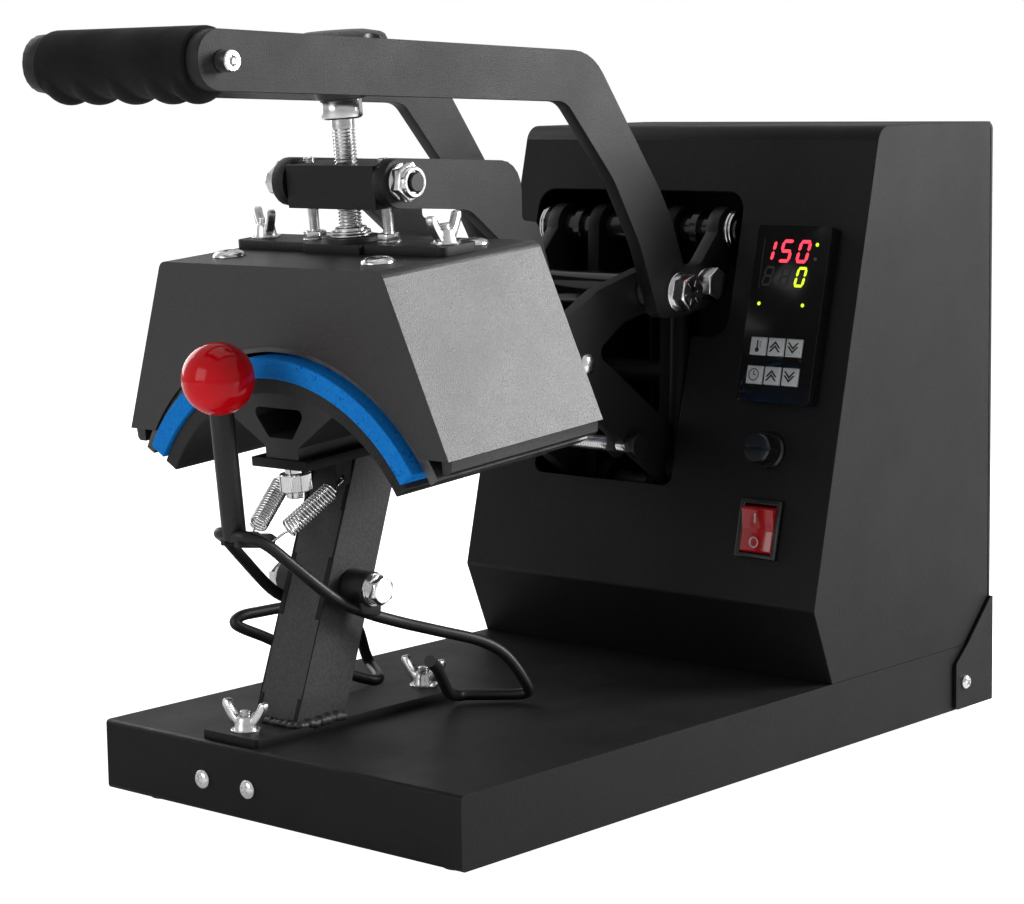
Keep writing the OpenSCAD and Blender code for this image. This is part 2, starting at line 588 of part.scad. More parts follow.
handle_line = [[-59.4, 355.7, 13], [-59.4, 383.7, 13], [213.9, 371.9, 30], [269, 298, 40], [279, 281.4, 30],
    [289.5, 255, 6], [303.4, 256, 10], [326, 280, 0], upper_pivot, [341, 263, 0], [322, 241, 12], [308, 232, 10],
    [288, 228.6, 0], [267.5, 228.6, 8], [251.5, 269.5, 60], [230, 305, 60], [192.4, 346.4, 14]];
module handle_arms() {
    color([0.16, 0.16, 0.16]) middle() both_sides() difference() {
        across(handle_in, handle_out) union() {
            polygon(rounded([for (p = handle_line) [p[0], p[1], len(p) > 2 ? p[2] : 0]]));
            spot(upper_pivot, 13);
            spot(handle_pivot, 13.4);
        }
        rod_x(40, 70, handle_pivot, pivot_r + 0.05);
        rod_x(40, 70, upper_pivot, shaft_r + 0.05);
        rod_x(40, 70, spring_top, 4.05);
        rod_x(40, 70, grip_axis, 5.05);
    }
}
module handle_shaft() {
    color([0.8, 0.8, 0.8]) middle() {
        rod_x(-handle_out - 5, handle_out + 5, handle_pivot, pivot_r);
        both_sides() rod_x(arm_out + 0.4, handle_in - 0.05, handle_pivot, 9);
        rod_x(handle_out + 0.05, handle_out + 2, handle_pivot, 11);
        rod_x(handle_out + 2, handle_out + 3.4, handle_pivot, 9.6);
        hex_x(handle_out + 3.4, handle_out + 10.2, handle_pivot, 17.5);
        rod_x(-handle_out - 1.6, -handle_out - 0.05, handle_pivot, 10.6);
        hex_x(-handle_out - 7.6, -handle_out - 1.6, handle_pivot, 17);
    }
}
module upper_shaft() {
    color([0.8, 0.8, 0.8]) middle() {
        rod_x(-handle_out - 1, handle_out + 1, upper_pivot, shaft_r);
        both_sides() {
            rod_x(link_out + 0.4, link_out + 5, upper_pivot, 11);
            rod_x(handle_out + 0.05, handle_out + 2, upper_pivot, 12);
            hex_x(handle_out + 2, handle_out + 8, upper_pivot, 19);
        }
    }
}
module handle_grip() {
    color([0.07, 0.07, 0.07]) middle() difference() {
        union() {
            rod_x(0.1 - handle_in, handle_in - 0.1, grip_axis, grip_r);
            for (i = [-1.5:1:1.5]) translate([i * 24, grip_axis[0] - 1, grip_axis[1] - 6]) sphere(r = 13.5);
        }
        rod_x(-60, 60, grip_axis, grip_rod_r + 0.05);
    }
}
module grip_rod() {
    color([0.8, 0.8, 0.8]) middle() {
        rod_x(0.1 - handle_in, handle_in - 0.1, grip_axis, grip_rod_r);
        rod_x(-handle_out, handle_out, grip_axis, 5);
        both_sides() {
            difference() {
                rod_x(handle_out - 0.5, handle_out + 7.6, grip_axis, 4.9);
                hex_x(handle_out + 4.4, handle_out + 9, grip_axis, 5);
            }
        }
    }
}

// Frame with +Z along the gas spring from its foot
module spring_frame() { middle() translate([spring_d, spring_foot[0], spring_foot[1]]) rotate([-spring_angle, 0, 0]) children(); }
module gas_spring_rod() {
    color([0.85, 0.85, 0.85]) spring_frame() difference() {
        union() {
            translate([0, 0, 4]) cylinder(h = 82, r = 3);
            translate([0, 0, 4]) cylinder(h = 8, r = 3.6);
            rod_x(-3.5, 3.5, [0, 0], 7);
        }
        rod_x(-10, 10, [0, 0], 4 + turn_gap);
    }
}
module gas_spring_tube() {
    color([0.05, 0.05, 0.05]) spring_frame() difference() {
        union() {
            translate([0, 0, 24]) cylinder(h = spring_len - 36, r = 5);
            translate([0, 0, spring_len - 14]) cylinder(h = 10, r = 3.6);
            rod_x(-3.5, 3.5, [0, spring_len], 7.5);
        }
        translate([0, 0, 23]) cylinder(h = 66, r = 3 + turn_gap);
        rod_x(-10, 10, [0, spring_len], 4 + spring_play);
    }
}
module gas_spring_bracket() {
    color([0.2, 0.2, 0.2]) middle() {
        across(52, 56) polygon(rounded([[298, base_h, 0], [326, base_h, 0], [312, 152, 5], [297.5, 152, 5]]));
        translate([56, 298, base_h]) cube([13, 28, 4]);
        rod_x(41.2, 52.5, spring_foot, 4);
        rod_x(spring_d + 3.9, 52.5, spring_foot, 6.5);
    }
}
module gas_spring_pin() {
    color([0.8, 0.8, 0.8]) middle() {
        rod_x(40.9, handle_out + 3, spring_top, 4);
        rod_x(spring_d + 3.9, handle_in - 0.05, spring_top, 6.5);
        rod_x(handle_out + 0.05, handle_out + 1.6, spring_top, 8);
        hex_x(handle_out + 1.6, handle_out + 10, spring_top, 16);
    }
}

module stand_base_plate() {
    color([0.14, 0.14, 0.14]) placed() difference() {
        translate([0, 0, base_h]) linear_extrude(4.5)
            polygon(rounded([[-54.5, 3.6, 2], [-15.5, 3.6, 2], [-15.5, 147.8, 2], [-54.5, 147.8, 2]]));
        for (y = [15.3, 143.5]) translate([mid_x - 1, y, base_h - 1]) cylinder(h = 8, r = 3.1);
    }
}
module stand_wing_nuts() {
    color([0.78, 0.78, 0.78]) placed() for (y = [15.3, 143.5]) translate([mid_x - 1, y, base_h + 4.5]) {
        rotate([0, 0, 8]) wing_nut(6, 15, 3, 12);
        translate([0, 0, -9]) cylinder(h = 10, r = 3);
        translate([0, 0, -11.5]) cylinder(h = 5, d = 10 / cos(30), $fn = 6);
    }
}
column_top = form_foot - head_plate_t;
module stand_column() {
    color([0.15, 0.15, 0.15]) middle() difference() {
        across(-15, 15) polygon([[34.1, base_h + 4.5], [68.3, base_h + 4.5], tilted(8.5, column_top), tilted(-23.5, column_top)]);
        across(-12.5, 12.5) polygon([[38, base_h + 10], [66, base_h + 10], tilted(4.5, column_top - 6), tilted(-20, column_top - 6)]);
        rod_x(-20, 20, hold_pivot, 5.05);
    }
}
module head_plate() {
    color([0.14, 0.14, 0.14]) platen_frame() difference() {
        union() {
            translate([-19.5, -63.2, column_top]) cube([39, 80, head_plate_t]);
            both_sides() across(15.6, 18.6) polygon(rounded([[-42, column_top + 1, 0], [-42, -113, 3], [-33, -113, 3], [-30, column_top + 1, 0]]));
        }
        translate([0, -52.8, column_top - 1]) cylinder(h = 10, r = 3.55);
        rod_x(-30, 30, hook_hole, hook_hole_r);
    }
}
module lower_form() {
    color([0.6, 0.6, 0.6]) platen_frame() difference() {
        along(form_v[0], form_v[1]) union() {
            translate([0, arc_w]) sector(pad_r - pad_t - form_t, pad_r - pad_t, form_half_angle);
            difference() {
                polygon([[-10, form_foot], [13.5, form_foot], [13.5, -90], [40, -72], [40, -60], [-40, -60], [-40, -72], [-10, -90]]);
                translate([0, arc_w]) difference() {
                    circle(r = 300);
                    circle(r = pad_r - pad_t - 1, $fn = 96);
                }
                polygon(rounded([[-6.8, -85.5, 2], [10.2, -85.5, 2], [21, -70.5, 3], [-18, -70.5, 3]]));
            }
        }
        translate([0, -52.8, form_foot - 1]) cylinder(h = 9, r = 3.55);
    }
}
module cap_pad() {
    color([0.08, 0.43, 0.82]) platen_frame() along(pad_v[0], pad_v[1])
        translate([0, arc_w]) sector(pad_r - pad_t + 0.05, pad_r, pad_half_angle);
}
module form_thumb_nut() {
    color([0.75, 0.75, 0.75]) platen_frame() translate([0, -52.8, 0]) {
        translate([0, 0, column_top - 3]) cylinder(h = 11, r = 3.5);
        translate([0, 0, column_top - 4.1]) cylinder(h = 4, r = 5);
        difference() {
            translate([0, 0, column_top - 13]) cylinder(h = 9, r = 8.2);
            for (a = [0:18:342]) rotate([0, 0, a]) translate([8.7, 0, column_top - 14]) cylinder(h = 11, r = 0.9, $fn = 8);
        }
    }
}

hub_out = 30.6;
module hold_down_shaft() {
    color([0.78, 0.78, 0.78]) middle() {
        rod_x(-hub_out - 0.5, hub_out + 0.5, hold_pivot, 5);
        both_sides() {
            rod_x(hub_out + 0.3, hub_out + 1.8, hold_pivot, 8.5);
            hex_x(hub_out + 1.8, hub_out + 7.8, hold_pivot, 13);
        }
    }
}
bail_clear = 1.3;
bail_low = base_h + bail_clear + wire_r;
bail_path = [[0, 8, 139], [9, 9, 139.6], [14.5, 18, 135], [18, 32, 123], [23, 56, 103], [26, 75, 93.5], [31, 93, 86.5],
    [39, 112, 80], [48, 135, 72], [53.5, 148, 63], [58, 157, bail_low + 8.7], [57, 160, bail_low + 1.2],
    [45, 152, bail_low], [33, 142, bail_low], [31, 134, bail_low + 0.7], [37, 122, bail_low + 5.7], [50, 104, 57],
    [62, 87, 68], [68, 76, 74]];
lever_foot = [11, 134];
ear_hole = [29, 134.6];
hook_hole_r = 1.5;
hook_hole = [-38, -109];
lever_len = norm(ball_at - lever_foot);
module lever_frame() {
    translate([0, lever_foot[0], lever_foot[1]]) rotate([atan2(lever_foot[0] - ball_at[0], ball_at[1] - lever_foot[1]), 0, 0]) children();
}
module hold_down_frame() {
    color([0.1, 0.1, 0.1]) middle() {
        both_sides() {
            swept(smooth(bail_path, 4), wire_r, 10, [0.62, 0.3, 0.72]);
            difference() {
                union() {
                    rod_x(15.4, hub_out, hold_pivot, 9);
                    across(22, 30) polygon([[68, 100], [82, 100], [81, 91], [69, 94]]);
                }
                rod_x(10, 40, hold_pivot, 5 + turn_gap);
            }
            difference() {
                across(3.5, 6.5) polygon(rounded([[7, 141, 0], [7, 134, 0], [30, 131, 3], [33, 137, 3]]));
                rod_x(3, 7, ear_hole, hook_hole_r);
            }
        }
        lever_frame() translate([0, 0, 4]) cylinder(h = lever_len - 8, r = lever_r);
    }
}
module ball_knob() {
    color([0.82, 0.05, 0.1]) middle() difference() {
        translate([0, ball_at[0], ball_at[1]]) sphere(r = ball_r, $fn = 64);
        lever_frame() cylinder(h = lever_len - 3.9, r = lever_r + 0.05);
    }
}

// Tension spring from the hook on the head plate to the frame's ear
hook_top = [20.4, tilted(hook_hole[0], hook_hole[1])[0], tilted(hook_hole[0], hook_hole[1])[1]];
hook_low = [8.4, ear_hole[0], ear_hole[1]];
coil_r = spring_r - spring_wire_r;
span = norm(hook_low - hook_top);
coil_h = spring_turns * coil_pitch;
coil_start = (span - coil_h) / 2;
function coil_local(i) = [coil_r * cos(i * 45), coil_r * sin(i * 45), coil_start + coil_pitch * i / 8];
coil_line = concat([[1, 0, coil_start - 2.4], [3.6, 0, coil_start - 0.8]], [for (i = [0:8 * spring_turns]) coil_local(i)],
    [[3.6, 0, span - coil_start + 0.8], [1, 0, span - coil_start + 2.4]]);
axis_w = unit(hook_low - hook_top);
axis_u = unit(cross([0, 0, 1], axis_w));
axis_v = cross(axis_w, axis_u);
spring_path = concat([hook_top + [-6.6, 1, -1.6], hook_top + [-6, 0, 0], hook_top + [-1.6, 0, 0],
        hook_top + [-0.3, 0, 0] + 0.8 * axis_w, hook_top + 2.4 * axis_w],
    [for (p = coil_line) hook_top + p[0] * axis_u + p[1] * axis_v + p[2] * axis_w],
    [hook_low - 2.4 * axis_w, hook_low + [-0.3, 0, 0] - 0.8 * axis_w, hook_low + [-1.6, 0, 0], hook_low + [-6, 0, 0],
        hook_low + [-6.5, -1, 1.5]]);
coil_gap = coil_pitch - 2 * spring_wire_r;
assert(coil_gap > 0.4, "the coils of the tension springs touch");
echo(spring_coil_gap_mm = coil_gap);
module coil_tube() { swept(spring_path, spring_wire_r, 6, axis_w + 0.001 * axis_u); }
module tension_spring_right() { color([0.85, 0.85, 0.85]) middle() coil_tube(); }
module tension_spring_left() { color([0.85, 0.85, 0.85]) middle() mirror([1, 0, 0]) coil_tube(); }

base_tray();
base_feet();
base_front_screws();
housing_shell();
back_plate();
back_plate_screws();
power_inlet();
controller_case();
controller_display();
key_top_left();
key_top_mid();
key_top_right();
key_low_left();
key_low_mid();
key_low_right();
fuse_holder();
fuse_cap();
switch_bezel();
switch_rocker();
frame_bracket();
frame_shafts();
pull_links();
press_arms();
arm_tie_tube();
arm_tie_rod();
cross_block();
block_bolts();
pressure_screw();
pressure_knob();
screw_collar();
guide_rods();
spreader_plate();
spreader_wing_nuts();
platen_cover();
heater_block();
insulation();
cover_screws();
handle_arms();
handle_shaft();
upper_shaft();
handle_grip();
grip_rod();
gas_spring_tube();
gas_spring_rod();
gas_spring_bracket();
gas_spring_pin();
stand_base_plate();
stand_column();
stand_wing_nuts();
head_plate();
lower_form();
cap_pad();
form_thumb_nut();
hold_down_shaft();
hold_down_frame();
ball_knob();
tension_spring_left();
tension_spring_right();
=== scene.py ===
import json
import math
import random

import bpy
from mathutils import Matrix, Vector

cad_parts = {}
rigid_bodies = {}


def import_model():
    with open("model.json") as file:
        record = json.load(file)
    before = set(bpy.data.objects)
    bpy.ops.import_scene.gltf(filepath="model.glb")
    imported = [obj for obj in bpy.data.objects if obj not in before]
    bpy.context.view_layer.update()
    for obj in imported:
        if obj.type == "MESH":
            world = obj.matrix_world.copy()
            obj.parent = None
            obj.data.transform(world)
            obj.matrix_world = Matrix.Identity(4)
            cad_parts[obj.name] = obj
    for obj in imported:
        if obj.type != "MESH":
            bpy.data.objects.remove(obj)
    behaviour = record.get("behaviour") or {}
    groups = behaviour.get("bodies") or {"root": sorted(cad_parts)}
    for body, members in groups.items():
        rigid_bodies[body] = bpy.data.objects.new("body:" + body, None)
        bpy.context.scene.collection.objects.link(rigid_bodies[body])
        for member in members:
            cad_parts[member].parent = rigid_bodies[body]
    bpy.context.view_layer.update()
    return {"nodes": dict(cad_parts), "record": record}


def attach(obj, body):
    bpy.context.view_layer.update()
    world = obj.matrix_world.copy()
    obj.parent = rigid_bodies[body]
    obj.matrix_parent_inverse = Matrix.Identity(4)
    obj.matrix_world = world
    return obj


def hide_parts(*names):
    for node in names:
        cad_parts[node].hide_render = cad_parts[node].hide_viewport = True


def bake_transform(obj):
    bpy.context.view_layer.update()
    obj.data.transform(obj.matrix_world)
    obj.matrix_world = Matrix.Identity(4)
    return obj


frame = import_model()
print("frame loaded,", len(frame["nodes"]), "nodes")

mm = 0.001

# Local frames of the press, each with its own origin
platenLean = math.radians(4.4)
platenAt = (0, 97, 273.9)
frames = {
    "row": Matrix.Identity(4),
    "base": Matrix.Translation((0.00965, -0.1944, 0.005)),
    "middle": Matrix.Translation((-0.02435, -0.1944, 0.005)),
}
frames["platen"] = (frames["middle"] @ Matrix.Translation([c * mm for c in platenAt])
                    @ Matrix.Rotation(platenLean, 4, "X"))
frames["panel"] = (frames["base"] @ Matrix.Translation((0, 0.2748, 0.0778))
                   @ Matrix.Rotation(math.radians(76.44), 4, "X"))

# Turns that send local Z along another axis
turns = {
    "up": Matrix.Identity(4),
    "right": Matrix.Rotation(math.radians(90), 4, "Y"),
    "left": Matrix.Rotation(math.radians(-90), 4, "Y"),
    "front": Matrix.Rotation(math.radians(90), 4, "X"),
    "back": Matrix.Rotation(math.radians(-90), 4, "X"),
}
bothSides = ("right", "left")


# Small helpers for modelling

def clear():
    if bpy.context.mode != "OBJECT":
        bpy.ops.object.mode_set(mode="OBJECT")
    bpy.ops.object.select_all(action="DESELECT")


def only(obj):
    clear()
    obj.select_set(True)
    bpy.context.view_layer.objects.active = obj
    return obj


def named(name):
    obj = bpy.context.object
    obj.name = name
    return obj


def freeze():
    bpy.ops.object.transform_apply(location=True, rotation=True, scale=True)


def edit(obj, kind="FACE"):
    only(obj)
    bpy.ops.object.mode_set(mode="EDIT")
    bpy.ops.mesh.select_mode(type=kind)


def editAll(obj, kind="FACE"):
    edit(obj, kind)
    bpy.ops.mesh.select_all(action="SELECT")


def pick(obj, wanted):
    edit(obj, "VERT")
    bpy.ops.mesh.select_all(action="DESELECT")
    bpy.ops.object.mode_set(mode="OBJECT")
    for vertex in obj.data.vertices:
        vertex.select = bool(wanted(vertex.co))
    bpy.ops.object.mode_set(mode="EDIT")


def applied(obj, kind, **values):
    only(obj)
    modifier = obj.modifiers.new(kind.title(), kind)
    for key, value in values.items():
        setattr(modifier, key, value)
    bpy.ops.object.modifier_apply(modifier=modifier.name)
    return obj


def outward(obj):
    editAll(obj)
    bpy.ops.mesh.remove_doubles(threshold=0.000002)
    bpy.ops.mesh.normals_make_consistent(inside=False)
    clear()
    return obj


def rounded(obj, width, segments=2, angle=30):
    return applied(obj, "BEVEL", width=width, segments=segments, limit_method="ANGLE",
                   angle_limit=math.radians(angle), use_clamp_overlap=True)


def offset(point):
    return Matrix.Translation([c * mm for c in point])


def moved(obj, matrix):
    obj.matrix_world = matrix
    only(obj)
    freeze()
    return obj


def fused(obj, cell, passes):
    applied(obj, "REMESH", mode="VOXEL", voxel_size=cell * mm, use_smooth_shade=True)
    return applied(obj, "SMOOTH", factor=0.5, iterations=passes)


def settle(obj, where, at=(0, 0, 0), turn="up", spin=0):
    turnMatrix = turns[turn] if isinstance(turn, str) else turn
    return moved(obj, frames[where] @ offset(at) @ turnMatrix @ Matrix.Rotation(math.radians(spin), 4, "Z"))


def joined(name, parts):
    clear()
    for part in parts:
        part.select_set(True)
    bpy.context.view_layer.objects.active = parts[0]
    if len(parts) > 1:
        bpy.ops.object.join()
    return named(name)


def turned(name, steps, sides=32):
    clear()
    radius, height = steps[0]
    bpy.ops.mesh.primitive_circle_add(vertices=sides, radius=radius * mm, fill_type="NGON",
                                      location=(0, 0, height * mm))
    obj = named(name)
    freeze()
    editAll(obj)
    for r, h in steps[1:]:
        bpy.ops.mesh.extrude_region_move(TRANSFORM_OT_translate={"value": (0, 0, (h - height) * mm)})
        size = r / radius
        if abs(size - 1) > 1e-6:
            bpy.ops.transform.resize(value=(size, size, 1), center_override=(0, 0, h * mm))
        radius, height = r, h
    return outward(obj)


def block(name, size, at=(0, 0, 0), bevel=0.0, segments=2):
    clear()
    bpy.ops.mesh.primitive_cube_add(size=1, location=[c * mm for c in at])
    obj = named(name)
    obj.scale = [c * mm for c in size]
    freeze()
    if bevel:
        rounded(obj, bevel * mm, segments)
    return obj


def cutFrom(obj, tool, how="DIFFERENCE"):
    applied(obj, "BOOLEAN", object=tool, operation=how, solver="EXACT")
    only(tool)
    bpy.ops.object.delete()
    return only(obj)


def hexHead(name, flats, height, chamfer=0.9):
    clear()
    bpy.ops.mesh.primitive_cylinder_add(vertices=6, radius=flats / 2 / math.cos(math.radians(30)) * mm,
                                        depth=height * mm, location=(0, 0, height / 2 * mm))
    obj = named(name)
    freeze()
    crown = flats / 2
    cone = turned("crownCone", [(crown * 1.3, -0.1), (crown * 1.3, height - chamfer), (crown * 0.93, height)], 48)
    cutFrom(obj, cone, "INTERSECT")
    rounded(obj, 0.22 * mm, 2, 25)
    return obj


def crossRecess(obj, top, reach, depth):
    for spin in (0, 90):
        slot = block("recess", (reach * 2, reach * 0.52, depth * 2), (0, 0, top))
        slot.rotation_euler = (0, 0, math.radians(spin))
        only(slot)
        freeze()
        cutFrom(obj, slot)
    return obj


# Outline of a pan head: parts of its radius and of its height
panDome = [(0.98, 0), (1, 0.12), (0.97, 0.36), (0.86, 0.66), (0.64, 0.88), (0.36, 0.98), (0.1, 1)]


def panScrew(name, radius, height, recess=True):
    obj = turned(name, [(radius * across, height * up) for across, up in panDome], 40)
    return crossRecess(obj, height, radius * 0.52, height * 0.42) if recess else obj


def threadedBar(name, radius, pitch, length, start=0.0):
    clear()
    bpy.ops.mesh.primitive_plane_add(size=0.001)
    obj = named(name)
    editAll(obj, "VERT")
    bpy.ops.mesh.merge(type="CENTER")
    deep, flank, crest, valley = (part * pitch for part in (0.56, 0.42, 0.12, 0.04))
    bpy.ops.transform.translate(value=((radius - deep) * mm, 0, start * mm))
    for dr, dz in ((deep, flank), (0, crest), (-deep, flank), (0, valley)):
        bpy.ops.mesh.extrude_region_move(TRANSFORM_OT_translate={"value": (dr * mm, 0, dz * mm)})
    applied(obj, "SCREW", axis="Z", angle=math.radians(360), screw_offset=pitch * mm,
            iterations=max(1, round(length / pitch)), steps=20, render_steps=20,
            use_merge_vertices=True, merge_threshold=0.000002)
    editAll(obj, "VERT")
    bpy.ops.mesh.remove_doubles(threshold=0.000004)
    bpy.ops.mesh.fill_holes(sides=0)
    bpy.ops.mesh.select_all(action="SELECT")
    bpy.ops.mesh.normals_make_consistent(inside=False)
    clear()
    return obj


def polyline(name, points, dimensions="3D", cyclic=False):
    clear()
    bpy.ops.curve.primitive_bezier_curve_add()
    obj = named(name)
    curve = obj.data
    curve.splines.clear()
    spline = curve.splines.new("POLY")
    spline.points.add(len(points) - 1)
    for place, point in zip(spline.points, points):
        x, y, z = (*point, 0)[:3]
        place.co = (x * mm, y * mm, z * mm, 1)
    spline.use_cyclic_u = cyclic
    curve.dimensions = dimensions
    return obj


def asMesh(obj):
    only(obj)
    bpy.ops.object.convert(target="MESH")
    return bpy.context.object


def wire(name, points, radius, sides=3):
    obj = polyline(name, points)
    curve = obj.data
    curve.twist_mode = "MINIMUM"
    curve.bevel_depth = radius * mm
    curve.bevel_resolution = sides
    curve.use_fill_caps = True
    return outward(asMesh(obj))


def smoothPath(points, steps):
    path = []
    last = len(points) - 1
    for i in range(last):
        a, b, c, d = (Vector(points[k]) for k in (max(i - 1, 0), i, min(i + 1, last), min(i + 2, last)))
        for j in range(steps):
            t = j / steps
            path.append(0.5 * (2 * b + (c - a) * t + (2 * a - 5 * b + 4 * c - d) * t * t
                               + (3 * b - a - 3 * c + d) * t ** 3))
    path.append(Vector(points[-1]))
    return path


# Faces wider than this stay flat, so that a bevel's shading doesn't spread over a sheet
flatWidth = dict(manySided=0.005, fourSided=0.011)


def broad(obj, face):
    corners = [obj.data.vertices[i].co for i in face.vertices]
    extent = Vector([max(c[k] for c in corners) - min(c[k] for c in corners) for k in range(3)]).length
    return face.area / max(extent, 1e-6) > flatWidth["manySided" if len(corners) > 4 else "fourSided"]


def shade(obj, finishName, angle):
    only(obj)
    bpy.ops.object.shade_smooth_by_angle(angle=math.radians(angle))
    obj.data.materials.clear()
    obj.data.materials.append(finishes[finishName])
    for face in obj.data.polygons:
        face.material_index = 0
        if broad(obj, face):
            face.use_smooth = False


def finish(obj, finishName, node, angle, redrawn=True):
    shade(obj, finishName, angle)
    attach(obj, bodyOf[node])
    if redrawn:
        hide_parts(node)
    return obj


def softened(node, width, finishName):
    only(frame["nodes"][node])
    bpy.ops.object.duplicate()
    obj = named(node + "_rounded")
    bpy.ops.object.parent_clear(type="CLEAR_KEEP_TRANSFORM")
    editAll(obj)
    bpy.ops.mesh.remove_doubles(threshold=0.000003)
    bpy.ops.mesh.dissolve_limited(angle_limit=math.radians(0.6))
    bpy.ops.mesh.normals_make_consistent(inside=False)
    clear()
    rounded(obj, width * mm)
    return finish(obj, finishName, node, 50)


bodyOf = {node: body for body, nodes in frame["record"]["behaviour"]["bodies"].items() for node in nodes}


# Finishes

groups = {}
finishes = {}


def feed(tree, value, socket):
    if isinstance(value, (int, float, tuple)):
        socket.default_value = value
    else:
        tree.links.new(value, socket)


def put(tree, node, values):
    for label, value in values.items():
        feed(tree, value, node.inputs[label])


def newGroup(name, inputs, outputs):
    group = bpy.data.node_groups.new(name, "ShaderNodeTree")
    for label, value in inputs:
        socket = group.interface.new_socket(label, in_out="INPUT", socket_type="NodeSocketFloat")
        socket.default_value = value
    for label in outputs:
        group.interface.new_socket(label, in_out="OUTPUT", socket_type="NodeSocketFloat")
    groups[name] = group
    given = group.nodes.new("NodeGroupInput").outputs
    place = group.nodes.new("ShaderNodeTexCoord").outputs["Object"]
    return group, given, group.nodes.new("NodeGroupOutput"), place


def noise(tree, place, scale, detail=2.0, rough=0.5):
    node = tree.nodes.new("ShaderNodeTexNoise")
    put(tree, node, {"Vector": place, "Scale": scale, "Detail": detail, "Roughness": rough})
    return node.outputs["Fac"]


def cellDistance(tree, place, scale):
    node = tree.nodes.new("ShaderNodeTexVoronoi")
    put(tree, node, {"Vector": place, "Scale": scale})
    return node.outputs["Distance"]


def maths(tree, operation, a, b=0.0, c=None):
    node = tree.nodes.new("ShaderNodeMath")
    node.operation = operation
    feed(tree, a, node.inputs[0])
    feed(tree, b, node.inputs[1])
    if c is not None:
        feed(tree, c, node.inputs[2])
    return node.outputs[0]


def spread(tree, value, low, high, toLow=0.0, toHigh=1.0):
    node = tree.nodes.new("ShaderNodeMapRange")
    put(tree, node, {"Value": value, "From Min": low, "From Max": high, "To Min": toLow, "To Max": toHigh})
    return node.outputs["Result"]


def blendColour(tree, factor, one, two):
    node = tree.nodes.new("ShaderNodeMix")
    node.data_type = "RGBA"
    put(tree, node, {"Factor": factor, "A": one, "B": two})
    return node.outputs["Result"]


def buildGroups():
    group, given, end, place = newGroup("powderGrain", [("Scale", 1000.0)], ["Height", "Tone"])
    coarse = noise(group, place, given["Scale"], 3.0, 0.6)
    fine = noise(group, place, maths(group, "MULTIPLY", given["Scale"], 2.7), 1.0)
    height = maths(group, "MULTIPLY_ADD", coarse, 0.6, maths(group, "MULTIPLY", fine, 0.4))
    put(group, end, {"Height": height, "Tone": spread(group, height, 0.36, 0.64)})

    group, given, end, place = newGroup(
        "handledSheen", [("Scale", 25.0), ("Low", 0.3), ("High", 0.4)], ["Rough", "Mask"])
    mask = spread(group, noise(group, place, given["Scale"], 4.0, 0.6), 0.35, 0.65)
    put(group, end, {"Mask": mask, "Rough": spread(group, mask, 0.0, 1.0, given["Low"], given["High"])})

    group, given, end, place = newGroup(
        "platedMetal", [("Scale", 900.0), ("Low", 0.14), ("High", 0.3)], ["Rough", "Tone", "Height"])
    cloud = noise(group, place, maths(group, "MULTIPLY", given["Scale"], 0.2), 3.0, 0.6)
    put(group, end, {
        "Rough": spread(group, cloud, 0.3, 0.7, given["Low"], given["High"]),
        "Tone": spread(group, cloud, 0.35, 0.65),
        "Height": noise(group, place, given["Scale"], 2.0, 0.6),
    })

    group, given, end, place = newGroup("foamCells", [("Scale", 1500.0)], ["Height", "Tone"])
    cells = cellDistance(group, place, given["Scale"])
    cloud = noise(group, place, maths(group, "MULTIPLY", given["Scale"], 0.3), 2.0)
    height = maths(group, "MULTIPLY_ADD", cells, 0.7, maths(group, "MULTIPLY", cloud, 0.3))
    put(group, end, {"Height": height, "Tone": spread(group, height, 0.15, 0.6)})

    group, given, end, place = newGroup("fleckSpots", [("Scale", 420.0), ("Size", 0.2)], ["Mask"])
    cells = cellDistance(group, place, given["Scale"])
    cloud = noise(group, place, maths(group, "MULTIPLY", given["Scale"], 0.5), 2.0)
    edge = maths(group, "MULTIPLY", given["Size"], spread(group, cloud, 0.45, 0.7, 0.0, 1.6))
    put(group, end, {"Mask": maths(group, "LESS_THAN", cells, edge)})


def colour(tone):
    if not isinstance(tone, tuple):
        return (tone, tone, tone, 1)
    return (*tone, 1) if len(tone) == 3 else (tone[0], *tone, 1)


def newFinish(name):
    material = bpy.data.materials.new(name)
    material.use_nodes = True
    finishes[name] = material
    return material.node_tree, material.node_tree.nodes["Principled BSDF"]


def placed(tree, groupName, **values):
    node = tree.nodes.new("ShaderNodeGroup")
    node.node_tree = groups[groupName]
    put(tree, node, values)
    return node.outputs


def bump(tree, height, relief, distance):
    node = tree.nodes.new("ShaderNodeBump")
    put(tree, node, {"Height": height, "Strength": relief, "Distance": distance})
    return node.outputs["Normal"]


def powderFinish(name, dark, light, rough, grain, relief, specular=0.5):
    tree, shader = newFinish(name)
    powder = placed(tree, "powderGrain", Scale=grain)
    sheen = placed(tree, "handledSheen", Scale=18.0, Low=rough[0], High=rough[1])
    evened = maths(tree, "SUBTRACT", sheen["Rough"], 0.04)
    put(tree, shader, {
        "Base Color": blendColour(tree, powder["Tone"], colour(dark), colour(light)), "Specular IOR Level": specular,
        "Roughness": maths(tree, "MULTIPLY_ADD", powder["Tone"], 0.08, evened),
        "Normal": bump(tree, powder["Height"], relief, 0.0002),
    })


def metalFinish(name, dark, light, rough, grain, relief):
    tree, shader = newFinish(name)
    plate = placed(tree, "platedMetal", Scale=grain, Low=rough[0], High=rough[1])
    put(tree, shader, {
        "Base Color": blendColour(tree, plate["Tone"], colour(dark), colour(light)), "Roughness": plate["Rough"],
        "Metallic": 1.0, "Normal": bump(tree, plate["Height"], relief, 0.00005),
    })


